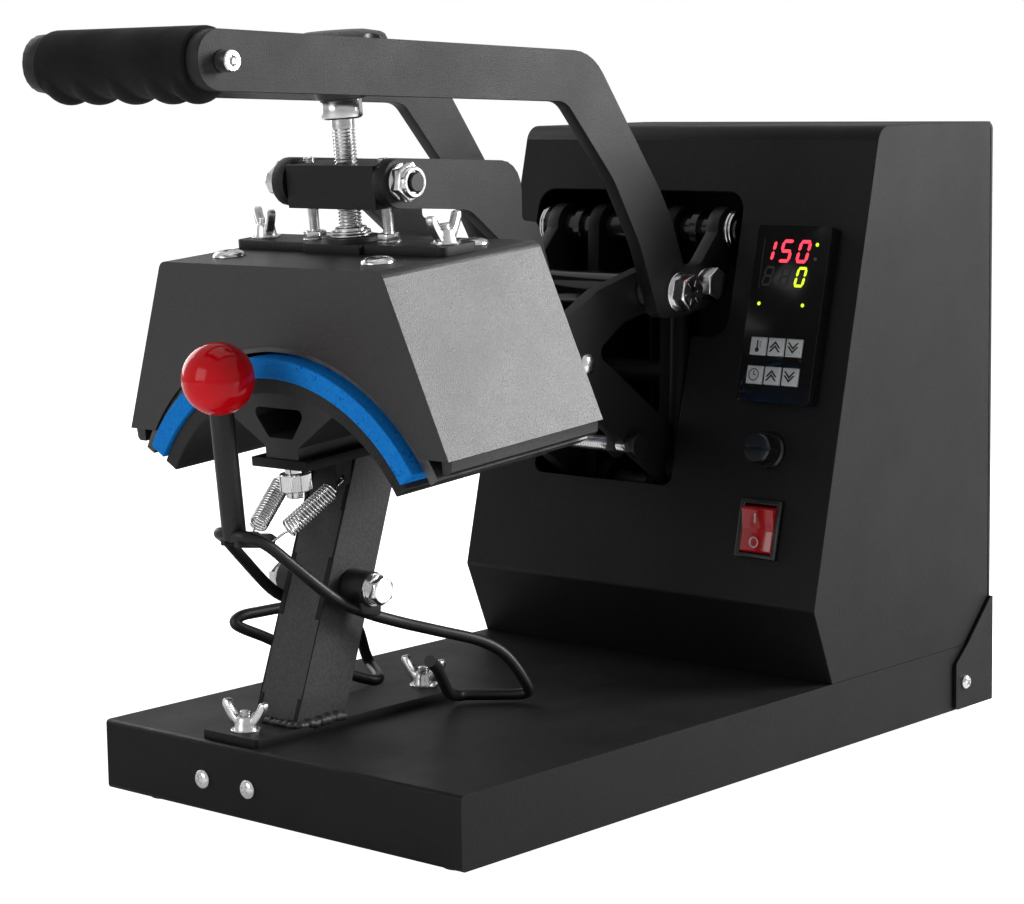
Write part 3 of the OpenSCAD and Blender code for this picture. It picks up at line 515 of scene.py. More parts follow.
def plasticFinish(name, dark, light, rough, grain=700.0, relief=0.1, specular=0.5, coat=0.0):
    tree, shader = newFinish(name)
    sheen = placed(tree, "handledSheen", Scale=30.0, Low=rough[0], High=rough[1])
    put(tree, shader, {
        "Base Color": blendColour(tree, sheen["Mask"], colour(dark), colour(light)), "Roughness": sheen["Rough"],
        "Specular IOR Level": specular, "Coat Weight": coat, "Coat Roughness": 0.08,
        "Normal": bump(tree, placed(tree, "powderGrain", Scale=grain)["Height"], relief, 0.0001),
    })


# Each row: dark tone, light tone, roughness range, grain per metre, relief, specular level, coat.
# A tone is a grey value, grey and blue, or red, green and blue
powders = {
    "blackPowder": ((0.006, 0.0064), (0.016, 0.0168), (0.42, 0.54), 1250, 1.1, 0.15),
    "blackPowderFine": ((0.007, 0.0074), (0.022, 0.023), (0.4, 0.52), 1300, 1.2, 0.27),
    "coverPowder": ((0.001, 0.0011), (0.024, 0.025), (0.38, 0.43), 1200, 1.35, 0.68),
    "columnPowder": ((0.016, 0.017), (0.06, 0.061), (0.5, 0.62), 560, 1.0),
    # The inner powder row is black powder coat made darker and less glossy: painted shade for the parts inside the
    # housing.
    "innerPowder": ((0.004, 0.0042), (0.012, 0.0126), (0.44, 0.56), 1250, 1.0, 0.09),
    "blackedSteel": ((0.009, 0.010), (0.020, 0.022), (0.36, 0.48), 700, 0.25, 0.4),
    "weldPowder": ((0.012, 0.0125), (0.035, 0.036), (0.4, 0.55), 700, 0.9),
    "formBlack": (0.012, 0.03, (0.5, 0.65), 800, 0.6),
}
metals = {
    "brightZinc": ((0.78, 0.79), 0.9, (0.12, 0.26), 900, 0.12),
    "castZinc": (0.62, (0.82, 0.83), (0.22, 0.38), 700, 0.4),
    "springSteel": ((0.7, 0.71), 0.88, (0.14, 0.24), 1200, 0.1),
    "heaterDark": (0.10, 0.16, (0.45, 0.6), 500, 0.4),
}
plastics = {
    "glossBlack": (0.008, 0.012, (0.14, 0.24), 900, 0.04, 0.5, 0.3),
    "seamDark": (0.002, 0.003, (0.6, 0.7), 900, 0.05, 0.2),
    "markPale": ((0.75, 0.72, 0.7), (0.85, 0.82, 0.8), (0.3, 0.4), 900, 0.05),
    "blackPlastic": (0.008, 0.013, (0.28, 0.36)),
    "glossBezel": (0.006, 0.009, (0.1, 0.16), 900, 0.03, 0.5, 0.5),
    "displayGlass": ((0.010, 0.006, 0.006), (0.014, 0.009, 0.009), (0.08, 0.12), 900, 0.02, 0.5, 0.6),
    "keyGrey": ((0.72, 0.73, 0.73), (0.8, 0.81, 0.81), (0.4, 0.5), 900, 0.15),
    "markBlack": (0.01, 0.014, (0.4, 0.5)),
    "unlitGrey": (0.035, 0.045, (0.3, 0.4)),
    "blackRubber": (0.010, 0.018, (0.55, 0.7), 500, 0.3),
    "ballRed": ((0.97, 0.003, 0.009), (1.0, 0.004, 0.014), (0.06, 0.1), 300, 0.01, 0.22, 0.05),
    "insulationWool": ((0.62, 0.58, 0.48), (0.74, 0.7, 0.6), (0.8, 0.95), 400, 0.8),
    "knobBlack": (0.010, 0.016, (0.3, 0.42), 600, 0.2),
}
# Lit segments: base colour, emitted colour, strength
lit = {
    "litRed": ((0.9, 0.03, 0.06), (1.0, 0.05, 0.09, 1), 1.6),
    "litLime": ((0.6, 0.8, 0.02), (0.62, 0.85, 0.02, 1), 1.3),
}


def buildFinishes():
    for make, rows in ((powderFinish, powders), (metalFinish, metals), (plasticFinish, plastics)):
        for name, values in rows.items():
            make(name, *values)

    tree, shader = newFinish("rockerRed")
    sheen = placed(tree, "handledSheen", Scale=60.0, Low=0.1, High=0.18)
    put(tree, shader, {
        "Base Color": blendColour(tree, sheen["Mask"], (0.30, 0.002, 0.004, 1), (0.46, 0.005, 0.01, 1)),
        "Roughness": sheen["Rough"], "Coat Weight": 0.2, "Coat Roughness": 0.05,
        "Emission Color": (0.8, 0.02, 0.03, 1), "Emission Strength": 0.08,
    })

    tree, shader = newFinish("padBlue")
    grain = placed(tree, "powderGrain", Scale=600.0)
    specks = placed(tree, "fleckSpots", Scale=420.0, Size=0.26)
    blue = blendColour(tree, grain["Tone"], (0.005, 0.25, 1.0, 1), (0.02, 0.38, 1.0, 1))
    put(tree, shader, {
        "Base Color": blendColour(tree, specks["Mask"], blue, (0.004, 0.19, 0.72, 1)),
        "Roughness": 0.7, "Specular IOR Level": 0.12, "Normal": bump(tree, grain["Height"], 0.5, 0.0003),
    })

    tree, shader = newFinish("gripFoam")
    cells = placed(tree, "foamCells", Scale=1300.0)
    put(tree, shader, {
        "Base Color": blendColour(tree, cells["Tone"], colour(0.003), colour((0.010, 0.0104))),
        "Roughness": placed(tree, "handledSheen", Scale=40.0, Low=0.75, High=0.9)["Rough"],
        "Specular IOR Level": 0.16, "Sheen Weight": 0.05, "Sheen Roughness": 0.5,
        "Normal": bump(tree, cells["Height"], 0.6, 0.0003),
    })

    for name, (base, glow, strength) in lit.items():
        tree, shader = newFinish(name)
        sheen = placed(tree, "handledSheen", Scale=400.0, Low=0.3, High=0.4)
        dimmed = tuple(c * 0.9 for c in base)
        put(tree, shader, {
            "Base Color": blendColour(tree, sheen["Mask"], (*base, 1), (*dimmed, 1)),
            "Roughness": sheen["Rough"], "Emission Color": glow, "Emission Strength": strength,
        })


buildGroups()
buildFinishes()
print("finishes made,", len(finishes))

# CAD nodes that keep their own shape
cadFinishes = {
    "base_feet": "blackRubber", "power_inlet": "blackPlastic", "controller_display": "displayGlass",
    "fuse_holder": "blackPlastic", "arm_tie_tube": "glossBlack", "heater_block": "heaterDark",
    # The gas spring rod takes the darkened inner powder: painted shade inside the housing.
    "insulation": "insulationWool", "gas_spring_rod": "innerPowder",
}

# CAD nodes that get rounded edges: edge radius in mm and finish
edgeRadius = {
    "base_tray": (0.7, "blackPowder"), "housing_shell": (0.7, "blackPowder"), "back_plate": (0.4, "blackPowder"),
    "platen_cover": (0.5, "coverPowder"), "press_arms": (0.8, "blackPowderFine"),
    # Pull links, frame bracket, gas spring bracket and gas spring tube take the darkened inner powder: painted shade
    # inside the housing.
    "handle_arms": (0.8, "blackPowderFine"), "pull_links": (0.6, "innerPowder"),
    "frame_bracket": (0.5, "innerPowder"), "cross_block": (1.2, "blackPowderFine"),
    "spreader_plate": (0.5, "blackPowderFine"), "stand_base_plate": (0.6, "blackPowder"),
    "stand_column": (0.8, "columnPowder"), "head_plate": (0.5, "blackPowder"), "lower_form": (0.5, "formBlack"),
    "gas_spring_bracket": (0.5, "innerPowder"), "controller_case": (0.5, "glossBezel"),
    "switch_bezel": (0.6, "blackPlastic"), "switch_rocker": (0.5, "rockerRed"), "fuse_cap": (0.3, "blackPlastic"),
    **{f"key_{row}_{place}": (0.4, "keyGrey") for row in ("top", "low") for place in ("left", "mid", "right")},
    "screw_collar": (0.3, "brightZinc"), "pressure_knob": (0.6, "knobBlack"), "gas_spring_tube": (0.5, "innerPowder"),
}


def dressNodes():
    for node, finishName in cadFinishes.items():
        obj = frame["nodes"][node]
        for slot in obj.material_slots:
            slot.material = finishes[finishName]
        if not obj.material_slots:
            obj.data.materials.append(finishes[finishName])
    for node, (radius, finishName) in edgeRadius.items():
        softened(node, radius, finishName)


dressNodes()
print("steelwork dressed")


# Fasteners, threads and trim

# Bolt centres and pivots of the press in the frame "middle"
pivots = dict(handle=(0, 284, 242), upper=(0, 332, 273), block=(0, 92, 308.9), holdDown=(0, 75, 106),
              spring=(0, 307, 245), tie=(0, 270, 158), arms=(0, 365, 105), links=(0, 326, 125), grip=(0, -45, 368.6))


def plate(name, outline, thickness, bevel=0.0):
    obj = polyline(name, outline, "2D", True)
    obj.data.fill_mode = "BOTH"
    obj.data.extrude = thickness / 2 * mm
    obj = outward(asMesh(obj))
    editAll(obj)
    bpy.ops.mesh.dissolve_limited(angle_limit=math.radians(0.5))
    clear()
    return rounded(obj, bevel * mm, 2, 40) if bevel else obj


def shifted(obj, at, turn="up", spin=0):
    return settle(obj, "row", at, turn, spin)


def pin(name, low, high, radius, edge=0.3, sides=40):
    inner = radius - edge
    return turned(name, [(inner, low), (radius, low + edge), (radius, high - edge), (inner, high)], sides)


def stack(name):
    parts = []
    for kind, low, high, size in boltSteps[name]:
        if kind == "hex":
            parts.append(shifted(hexHead(name, size, high - low), (0, 0, low), spin=22))
        else:
            parts.append(pin(name, low, high, size))
    return joined(name, parts)


def eachSide(make, pivot, spin=0):
    return [settle(make(), "middle", pivots[pivot], side, spin) for side in bothSides]


def bothEnds(name, pivot):
    return joined(name, eachSide(lambda: stack(name), pivot))


def replace(node, finishName, parts, angle=35):
    return finish(joined(node + "_made", parts), finishName, node, angle)


def added(node, finishName, parts, name, angle=35):
    return finish(joined(name, parts), finishName, node, angle, False)


# Rings: from, to, radius, edge
pressureScrew = dict(radius=6.0, pitch=1.75, threadFrom=8.5, threadTo=62.5, top=79, rootFrom=7.2, rootTo=64,
                     rings=[(7.2, 8.8, 10.7, 0.5), (9.0, 10.3, 10.2, 0.45), (10.3, 12.0, 8.2, 0.4)])


def buildPressureScrew():
    p = pressureScrew
    parts = [threadedBar("screw_thread", p["radius"], p["pitch"], p["threadTo"] - p["threadFrom"], p["threadFrom"]),
             pin("shank", p["threadTo"] - 1, p["top"], p["radius"] - 0.1),
             pin("root", p["rootFrom"], p["rootTo"], p["radius"] - 1.0, 0.1)]
    parts += [pin("ring", low, high, radius, edge, 48) for low, high, radius, edge in p["rings"]]
    replace("pressure_screw", "brightZinc", [settle(joined("screw", parts), "platen")], 40)


guideStud = dict(radius=3.0, pitch=1.0, top=47.2, threadFrom=5.2, nut=10.4, nutHeight=4.6, nutAt=4.85,
                 places=[(-26.4, 4), (26.4, 34)])


def buildGuideStuds():
    g = guideStud
    parts = []
    for x, spin in g["places"]:
        nut = shifted(hexHead("nut", g["nut"], g["nutHeight"]), (0, 0, g["nutAt"]), spin=spin)
        for piece in (threadedBar("stud", g["radius"], g["pitch"], g["top"] - 6, g["threadFrom"]), nut,
                      pin("core", 0, g["top"] - 0.6, g["radius"] - 0.5, 0.2, 24), pin("seat", 4.8, 5.5, 6.2, 0.2)):
            parts.append(settle(piece, "platen", (x, 0, 0)))
    replace("guide_rods", "brightZinc", parts, 40)


# Steps from the middle outward: kind, from, to, and a pin's radius or a hexagon's width across flats
boltSteps = {
    "handle_bolt": [("pin", 0, 65, 6.0), ("pin", 40.1, 53.9, 9.0), ("pin", 62.05, 63.9, 11.0),
                    ("pin", 63.9, 65.4, 9.4), ("hex", 65.4, 72.2, 17.5)],
    "handle_nut": [("pin", 0, 65, 6.0), ("pin", 40.1, 53.9, 9.0), ("pin", 62.05, 63.6, 10.6),
                   ("hex", 63.6, 69.2, 17), ("pin", 69, 70, 5.8)],
    "upper_bolt": [("pin", 62.05, 62.6, 9.0), ("pin", 66, 67.2, 12.4), ("pin", 67.9, 69.2, 12.0)],
    "bar": [("pin", 0, 70, 8.0), ("pin", 40.1, 44.7, 11.0), ("pin", 62.6, 66, 10.4)],
    "block_nut": [("pin", 39.75, 41.2, 9.5), ("hex", 41.2, 47.4, 17)],
    "hold_bolt": [("pin", 0, 31.1, 5.0), ("pin", 30.9, 32.4, 8.5), ("pin", 32.4, 33.4, 8.0), ("hex", 33.3, 38.4, 13)],
    "spring_bolt": [("pin", 40.9, 65, 4.0), ("pin", 49.2, 53.95, 6.5), ("pin", 62.05, 63.6, 8.6),
                    ("hex", 63.6, 72, 16)],
    "tie_nuts": [("hex", 39.75, 45.6, 13), ("hex", 26.6, 31.6, 13)],
    "arm_shaft": [("pin", 0, 52.7, 8.0), ("hex", 47.1, 53.7, 24), ("pin", 21.2, 31.2, 12.0)],
    "key": [("hex", 66.2, 71, 5)],
}
headMarks = dict(size=(0.8, 3.4, 0.5), at=(0, 5.2, 72.1), edge=0.12, count=6, start=14)
crownNut = [(7.9, 46.8), (8.1, 47.4), (8.0, 48.9), (7.3, 49.9), (5.9, 49.9), (5.5, 49.2), (5.4, 47.6)]
tieThread = dict(radius=4.6, pitch=1.25, length=44, core=3.9, coreLength=44.5)
armScrews = dict(radius=6.2, height=3.8, x=39.5, y=232, z=205.7)
capHead = [(4.6, 62), (5.0, 62.4), (5.0, 69), (4.5, 69.7), (2.9, 69.7)]


def tieBar():
    t = tieThread
    return joined("tie", [threadedBar("tie_thread", t["radius"], t["pitch"], t["length"]),
                          pin("core", 0, t["coreLength"], t["core"], 0.3, 24)])


def buildBolts():
    head, nut, m = stack("handle_bolt"), stack("handle_nut"), headMarks
    marks = [shifted(block("mark", m["size"], m["at"], m["edge"]), (0, 0, 0), spin=k * 360 / m["count"] + m["start"])
             for k in range(m["count"])]
    head = settle(joined("handle_bolt", [head] + marks), "middle", pivots["handle"], "right", -6)
    replace("handle_shaft", "brightZinc", [head, settle(nut, "middle", pivots["handle"], "left")])

    replace("upper_shaft", "brightZinc", [bothEnds("upper_bolt", "upper")])
    added("upper_shaft", "glossBlack", eachSide(lambda: stack("bar"), "upper"), "upper_shaft_bar")

    nuts = bothEnds("block_nut", "block")
    replace("block_bolts", "brightZinc", [nuts] + eachSide(lambda: turned("crown", crownNut, 48), "block"))
    stems = eachSide(lambda: pin("stem", 30, 51.3, 4.9, 0.6), "block")
    added("block_bolts", "blackedSteel", stems, "block_bolt_stems")

    replace("hold_down_shaft", "brightZinc", [bothEnds("hold_bolt", "holdDown")])
    replace("gas_spring_pin", "brightZinc", [settle(stack("spring_bolt"), "middle", pivots["spring"], "right", 8)])
    replace("arm_tie_rod", "brightZinc", eachSide(tieBar, "tie"), 40)
    added("arm_tie_rod", "blackedSteel", [bothEnds("tie_nuts", "tie")], "arm_tie_nuts")

    a = armScrews
    screws = [settle(panScrew("arm_screw", a["radius"], a["height"], False), "middle", (x, a["y"], a["z"]), side)
              for x, side in ((a["x"], "right"), (-a["x"], "left"))]
    added("press_arms", "brightZinc", screws, "arm_screws")

    shafts = bothEnds("arm_shaft", "arms")
    replace("frame_shafts", "blackedSteel", [shafts] + eachSide(lambda: pin("link_shaft", 0, 31, 8.0), "links"))

    caps = eachSide(lambda: cutFrom(turned("cap", capHead, 40), stack("key")), "grip", 12)
    rods = eachSide(lambda: pin("grip_bar", 0, 53.9, 6.0), "grip")
    stubs = eachSide(lambda: pin("grip_stub", 50, 63, 4.9), "grip")
    replace("grip_rod", "brightZinc", caps + rods + stubs)


# Cross-head screws: place in the local frame and spin
crossScrews = {
    "cover_screws": dict(where="platen", turn="up", radius=8.4, height=3.4, stem=3.0, depth=7.8,
                         at=[(-53, -36, 0, 20), (53, -36, 0, 50), (-53, 32, 0, 10), (53, 32, 0, 75)]),
    "base_front_screws": dict(where="base", turn="front", radius=5.0, height=2.7, stem=2.5, depth=8.8,
                              at=[(-50.8, 0, 16.3, 30), (-18.1, 0, 16.3, 52)]),
}
# Back plate: x, z, spin and depth of the rear screws, then x, side and spin of the two side screws
backScrews = dict(radius=4, height=2.2, stem=2.0, rearY=447.3, sideY=419, sideZ=15.3, sideDepth=2,
                  rear=[(-108, 312, 10, 6.8), (108, 312, 55, 6.8), (-108, 190, 80, 6.8), (108, 190, 30, 6.8),
                        (-60, 17, 65, 2.2), (60, 17, 15, 2.2)],
                  sides=[(126.2, "right", 40), (-126.2, "left", 12)])


def crossScrew(values, depth, sides):
    head = panScrew("head", values["radius"], values["height"])
    return joined("screw", [head, pin("stem", -depth, 0.2, values["stem"], 0.2, sides)])


def buildCrossScrews():
    for node, s in crossScrews.items():
        replace(node, "brightZinc", [settle(crossScrew(s, s["depth"], 24), s["where"], (x, y, z), s["turn"], spin)
                                     for x, y, z, spin in s["at"]])
    b = backScrews
    parts = [settle(crossScrew(b, depth, 20), "base", (x, b["rearY"], z), "back", spin)
             for x, z, spin, depth in b["rear"]]
    parts += [settle(crossScrew(b, b["sideDepth"], 20), "base", (x, b["sideY"], b["sideZ"]), side, spin)
              for x, side, spin in b["sides"]]
    replace("back_plate_screws", "brightZinc", parts)


wingNut = dict(thickness=4.6, edge=1.5, hub=[(5.9, 0), (6.1, 0.7), (5.7, 1.6), (5.2, 4.5), (4.9, 6.6), (4.2, 7.3)],
               wing=[(2.5, 0.8), (5.8, 1.2), (8.2, 3.8), (11.6, 8.6), (13.4, 11.8), (13.4, 14.4), (11.6, 15.4),
                     (9.6, 14.4), (8.2, 11.4), (5.6, 7.8), (4.0, 6.2), (2.5, 6.0)])
wingNuts = {
    "spreader_wing_nuts": dict(where="platen", top=10.5, at=[(-64, 1, 4.8, -26), (64, 1, 4.8, 100)]),
    "stand_wing_nuts": dict(where="base", top=9.5, at=[(-35, 15.3, 40.5, 8), (-35, 143.5, 40.5, 8)]),
}


def wingNutAt(where, at, spin):
    parts = [turned("hub", wingNut["hub"], 32), pin("washer", -0.02, 0.9, 7.6, 0.25)]
    for side in (0, 180):
        wing = shifted(plate("wing", wingNut["wing"], wingNut["thickness"], wingNut["edge"]), (0, 0, 0), "front")
        parts.append(shifted(wing, (0, 0, 0), spin=side))
    return settle(joined("wing_nut", parts), where, at, "up", spin)


def studAt(where, at, spin, top):
    parts = [threadedBar("thread", 3.0, 1.0, top - 2, 1.5), pin("core", -6, top - 0.3, 2.5, 0.2, 20)]
    return settle(joined("stud", parts), where, at, "up", spin)


def buildWingNuts():
    for node, w in wingNuts.items():
        nuts = [wingNutAt(w["where"], (x, y, z), spin) for x, y, z, spin in w["at"]]
        studs = [studAt(w["where"], (x, y, z), spin, w["top"]) for x, y, z, spin in w["at"]]
        replace(node, "castZinc", nuts + studs, 40)


thumbNut = dict(at=(0, -52.8, -101.0), sides=96, rim=7.95, groove=0.935,
                body=[(7.6, -13), (8.1, -12.5), (8.1, -4.6), (7.6, -4.1), (5.2, -4.0), (5.0, -3.6), (5.0, -0.1)])


def buildThumbNut():
    t = thumbNut
    body = turned("knurl", t["body"], t["sides"])
    pick(body, lambda co: math.hypot(co.x, co.y) > t["rim"] * mm
         and round(math.atan2(co.y, co.x) / math.tau * t["sides"]) % 2)
    bpy.ops.transform.resize(value=(t["groove"], t["groove"], 1), center_override=(0, 0, 0))
    clear()
    parts = [body, pin("stem", -3, 8, 3.5), pin("collar", -16.4, -13, 5.0, 0.4)]
    replace("form_thumb_nut", "brightZinc", [settle(joined("thumb", parts), "platen", t["at"])], 20)


buildPressureScrew()
buildGuideStuds()
buildBolts()
buildCrossScrews()
buildWingNuts()
buildThumbNut()
print("fasteners made")


# Soft pieces: foam grip and rubber pad

# Finger bumps: place along the grip and reach
foamGrip = dict(radius=16.3, half=53.9, bumps=[(-50.5, 12), (-23.3, 13.5), (3.0, 13.5), (28.8, 13), (50, 11)],
                drop=3.3, cell=0.9, wide=16.0, high=15.4, swell=1.12, bore=6.05)


def buildGrip():
    g = foamGrip
    half, radius = g["half"], g["radius"]
    body = turned("grip_foam", [(14.0, -half), (15.6, -half + 0.7), (radius, -half + 2.2),
                                (radius, half - 1.6), (15.9, half - 0.4), (15.2, half)], 64)
    for x, reach in g["bumps"]:
        clear()
        bpy.ops.mesh.primitive_uv_sphere_add(segments=48, ring_count=24, radius=1)
        swelling = bpy.context.object
        swelling.scale = (g["wide"] * mm, g["high"] * mm, reach * g["swell"] * mm)
        swelling.location = (g["drop"] * mm, 0, max(10 - half, min(half - 8, x)) * mm)
        freeze()
        cutFrom(body, swelling, "UNION")
    cutFrom(body, pin("hollow", -60, 60, g["bore"], 0.1, 32))
    fused(body, g["cell"], 6)
    settle(body, "middle", pivots["grip"], "right")
    finish(body, "gripFoam", "handle_grip", 60)


rubberPad = dict(inner=100.75, outer=111.15, half=57.4, front=-65, back=50, centre=-156, edge=0.7)


def arcOutline(inner, outer, half, centre, steps=56):
    angles = [math.radians(half * (2 * i / steps - 1)) for i in range(steps + 1)]
    return ([(outer * math.sin(a), centre + outer * math.cos(a)) for a in angles]
            + [(inner * math.sin(a), centre + inner * math.cos(a)) for a in reversed(angles)])


def buildPad():
    r = rubberPad
    pad = plate("cap_rubber", arcOutline(r["inner"], r["outer"], r["half"], r["centre"]), r["back"] - r["front"])
    rounded(pad, r["edge"] * mm, 3, 50)
    settle(pad, "platen", (0, (r["front"] + r["back"]) / 2, 0), "front")
    finish(pad, "padBlue", "cap_pad", 40)


buildGrip()
buildPad()
print("foam grip and pad made")


# Form's ribbed front, column's seam and welds

ribbing = dict(inner=93.0, outer=100.4, half=58.6, count=150, proud=0.55, face=-62.0, centre=-156)


def buildRibs():
    r = ribbing
    line = []
    for i in range(r["count"] * 2 + 1):
        a = math.radians(r["half"] * (i / r["count"] - 1))
        line.append((r["inner"] * math.sin(a), r["inner"] * math.cos(a), (i % 2) * r["proud"]))
    band = asMesh(polyline("form_ribs", line))
    editAll(band, "VERT")
    grow = r["outer"] / r["inner"]
    bpy.ops.mesh.extrude_region_move()
    bpy.ops.transform.resize(value=(grow, grow, 1), center_override=(0, 0, 0))
    clear()
    applied(band, "SOLIDIFY", thickness=0.4 * mm, offset=-1)
    settle(band, "platen", (0, r["face"], r["centre"]), "front")
    added("lower_form", "formBlack", [band], "form_ribs", 20)


# Seam pieces of the column: from, to (parts of its length) and distance from its middle
columnSeam = dict(foot=(34.1, 40.5), head=(81.3, 171.4), edge=15, wide=0.55, thick=0.35,
                  jogs=[(0.0, 0.10, 12.6), (0.10, 0.395, 14.8), (0.395, 0.62, 11.9), (0.62, 0.80, 14.0),
                        (0.80, 1.0, 12.6)])


def buildColumnSeam():
    c = columnSeam
    dy, dz = c["head"][0] - c["foot"][0], c["head"][1] - c["foot"][1]
    length = math.hypot(dy, dz)
    lean = Matrix.Rotation(-math.atan2(dy, dz), 4, "X")
    seams, fingers = [], []
    for side in (1, -1):
        previous = None
        for low, high, x in c["jogs"]:
            mid, tall = (low + high) / 2 * length, (high - low) * length
            seams.append(block("seam", (c["wide"], c["thick"], tall), (side * x, -0.05, mid)))
            fingers.append(block("finger", (c["edge"] - x, 0.5, tall - 0.5), (side * (x + c["edge"]) / 2, -0.02, mid),
                                 0.12, 1))
            if previous is not None:
                seams.append(block("seam", (abs(x - previous) + 0.5, c["thick"], 0.5),
                                   (side * (x + previous) / 2, -0.05, low * length)))
            previous = x
    for name, finishName, pieces in (("column_seams", "seamDark", seams), ("column_fingers", "blackPowder", fingers)):
        whole = moved(joined(name, pieces), frames["middle"] @ offset((0, *c["foot"])) @ lean)
        added("stand_column", finishName, [whole], name)


weldLines = {
    "column_weld_front": dict(start=(-13, 33.4, 41.2), end=(14, 33.4, 41.2), radius=2.7),
    "column_weld_right": dict(start=(16.0, 36, 41.0), end=(16.0, 66, 41.0), radius=3.5),
    "column_weld_left": dict(start=(-16.0, 36, 41.0), end=(-16.0, 66, 41.0), radius=3.5),
    "column_weld_back": dict(start=(-13, 68.9, 41.0), end=(14, 68.9, 41.0), radius=2.0),
}


def buildWelds():
    chance = random.Random(4)
    for name, w in weldLines.items():
        start, end = Vector(w["start"]), Vector(w["end"])
        count = round((end - start).length / 1.5)
        parts = []
        for i in range(count + 1):
            where = start.lerp(end, i / count)
            clear()
            bpy.ops.mesh.primitive_ico_sphere_add(subdivisions=2, radius=w["radius"] * chance.uniform(0.86, 1.12) * mm,
                                                  location=[c * mm + chance.uniform(-0.0003, 0.0003) for c in where])
            bead = bpy.context.object
            bead.scale = (1, 1, chance.uniform(0.72, 0.95))
            freeze()
            parts.append(bead)
        bead = settle(fused(joined(name, parts), 0.45, 2), "middle")
        added("stand_column", "weldPowder", [bead], name, 60)


buildRibs()
buildColumnSeam()
buildWelds()
print("form ribs, seams and welds made")


# Hold-down wire, lever, ball and springs

# Path of the hold-down wire on the right, and the extra length of the left one
bail = [(0, 8, 139), (9, 9, 139.6), (14.5, 18, 135), (18, 32, 123), (23, 56, 103), (26, 75, 93.5), (31, 93, 86.5),
        (39, 112, 80), (48, 135, 72), (53.5, 148, 63), (58, 157, 49.0), (57, 160, 41.5), (45, 152, 40.3),
        (33, 142, 40.3), (31, 134, 41.0), (37, 122, 46.0), (50, 104, 57), (62, 87, 68), (68, 76, 74)]
leftReturn = [(70.5, 73.2, 77.4), (69.8, 78, 80.2), (68.5, 90, 80.6), (67.5, 106, 80.6)]
bailHub = [(8.6, 15.4), (9.0, 15.8), (9.0, 30.2), (8.6, 30.6)]
lug = dict(x=26, outline=[(68, 100), (82, 100), (81, 91), (69, 94)], thickness=8, edge=0.8)
ear = dict(x=5, outline=[(7, 141), (7, 134), (28, 131), (31.5, 132.2), (33, 136), (30, 138)], thickness=3, edge=0.5,
           hole=1.5, holeAt=(0, 29, 134.6))
lever = dict(foot=(0, 11, 134), ball=(0, 3, 217), radius=6.0, ballRadius=18.0,
             ballSteps=[-17.0, -16.2, -15, -13.4, -11.4, -9.2, -6.8, -4.2, -1.6, 1.6, 4.2, 6.8, 9.2, 11.4, 13.4, 15,
                        16.2, 17.1, 17.6, 17.9])


def alongAxis(obj, start, end):
    direction = (Vector(end) - Vector(start)).normalized()
    return moved(obj, frames["middle"] @ offset(start) @ direction.to_track_quat("Z", "Y").to_matrix().to_4x4())


def buildHoldDown():
    parts = []
    upright = turns["right"] @ Matrix.Rotation(math.radians(90), 4, "Z")
    for side, turn in ((1, "right"), (-1, "left")):
        path = smoothPath([(side * x, y, z) for x, y, z in bail + (leftReturn if side < 0 else [])], 6)
        parts.append(settle(wire("bail", path, 3.0, 5), "middle"))
        parts.append(settle(turned("hub", bailHub, 48), "middle", pivots["holdDown"], turn))
        sheet = plate("lug", lug["outline"], lug["thickness"], lug["edge"])
        parts.append(settle(sheet, "middle", (side * lug["x"], 0, 0), upright))
        sheet = shifted(plate("ear", ear["outline"], ear["thickness"], ear["edge"]), (0, 0, 0), upright)
        hole = shifted(pin("hole", -4, 4, ear["hole"], 0.1, 24), ear["holeAt"], "right")
        parts.append(settle(cutFrom(sheet, hole), "middle", (side * ear["x"], 0, 0)))
    length = (Vector(lever["ball"]) - Vector(lever["foot"])).length
    radius = lever["radius"]
    rod = turned("lever", [(5.4, 3.6), (radius, 4.4), (radius, length - 6), (5.6, length - 4)], 48)
    parts.append(alongAxis(rod, lever["foot"], lever["ball"]))
    replace("hold_down_frame", "blackedSteel", parts, 40)
    outline = [(math.sqrt(max(lever["ballRadius"] ** 2 - h ** 2, 0)), h) for h in lever["ballSteps"]]
    beyond = [2 * b - a for a, b in zip(lever["foot"], lever["ball"])]
    replace("ball_knob", "ballRed", [alongAxis(turned("ball", outline, 64), lever["ball"], beyond)], 60)


# Top hook in the platen's frame, low hook in "middle"
springs = dict(coil=4.4, wire=0.6, turns=17, pitch=1.75, steps=20, topX=20.4, topY=-38, topZ=-109, low=(8.4, 29, 134.6),
               topHook=[(-6.6, 1, -1.6), (-6, 0, 0), (-1.6, 0, 0)], lowHook=[(-1.6, 0, 0), (-6, 0, 0), (-6.5, -1, 1.5)])


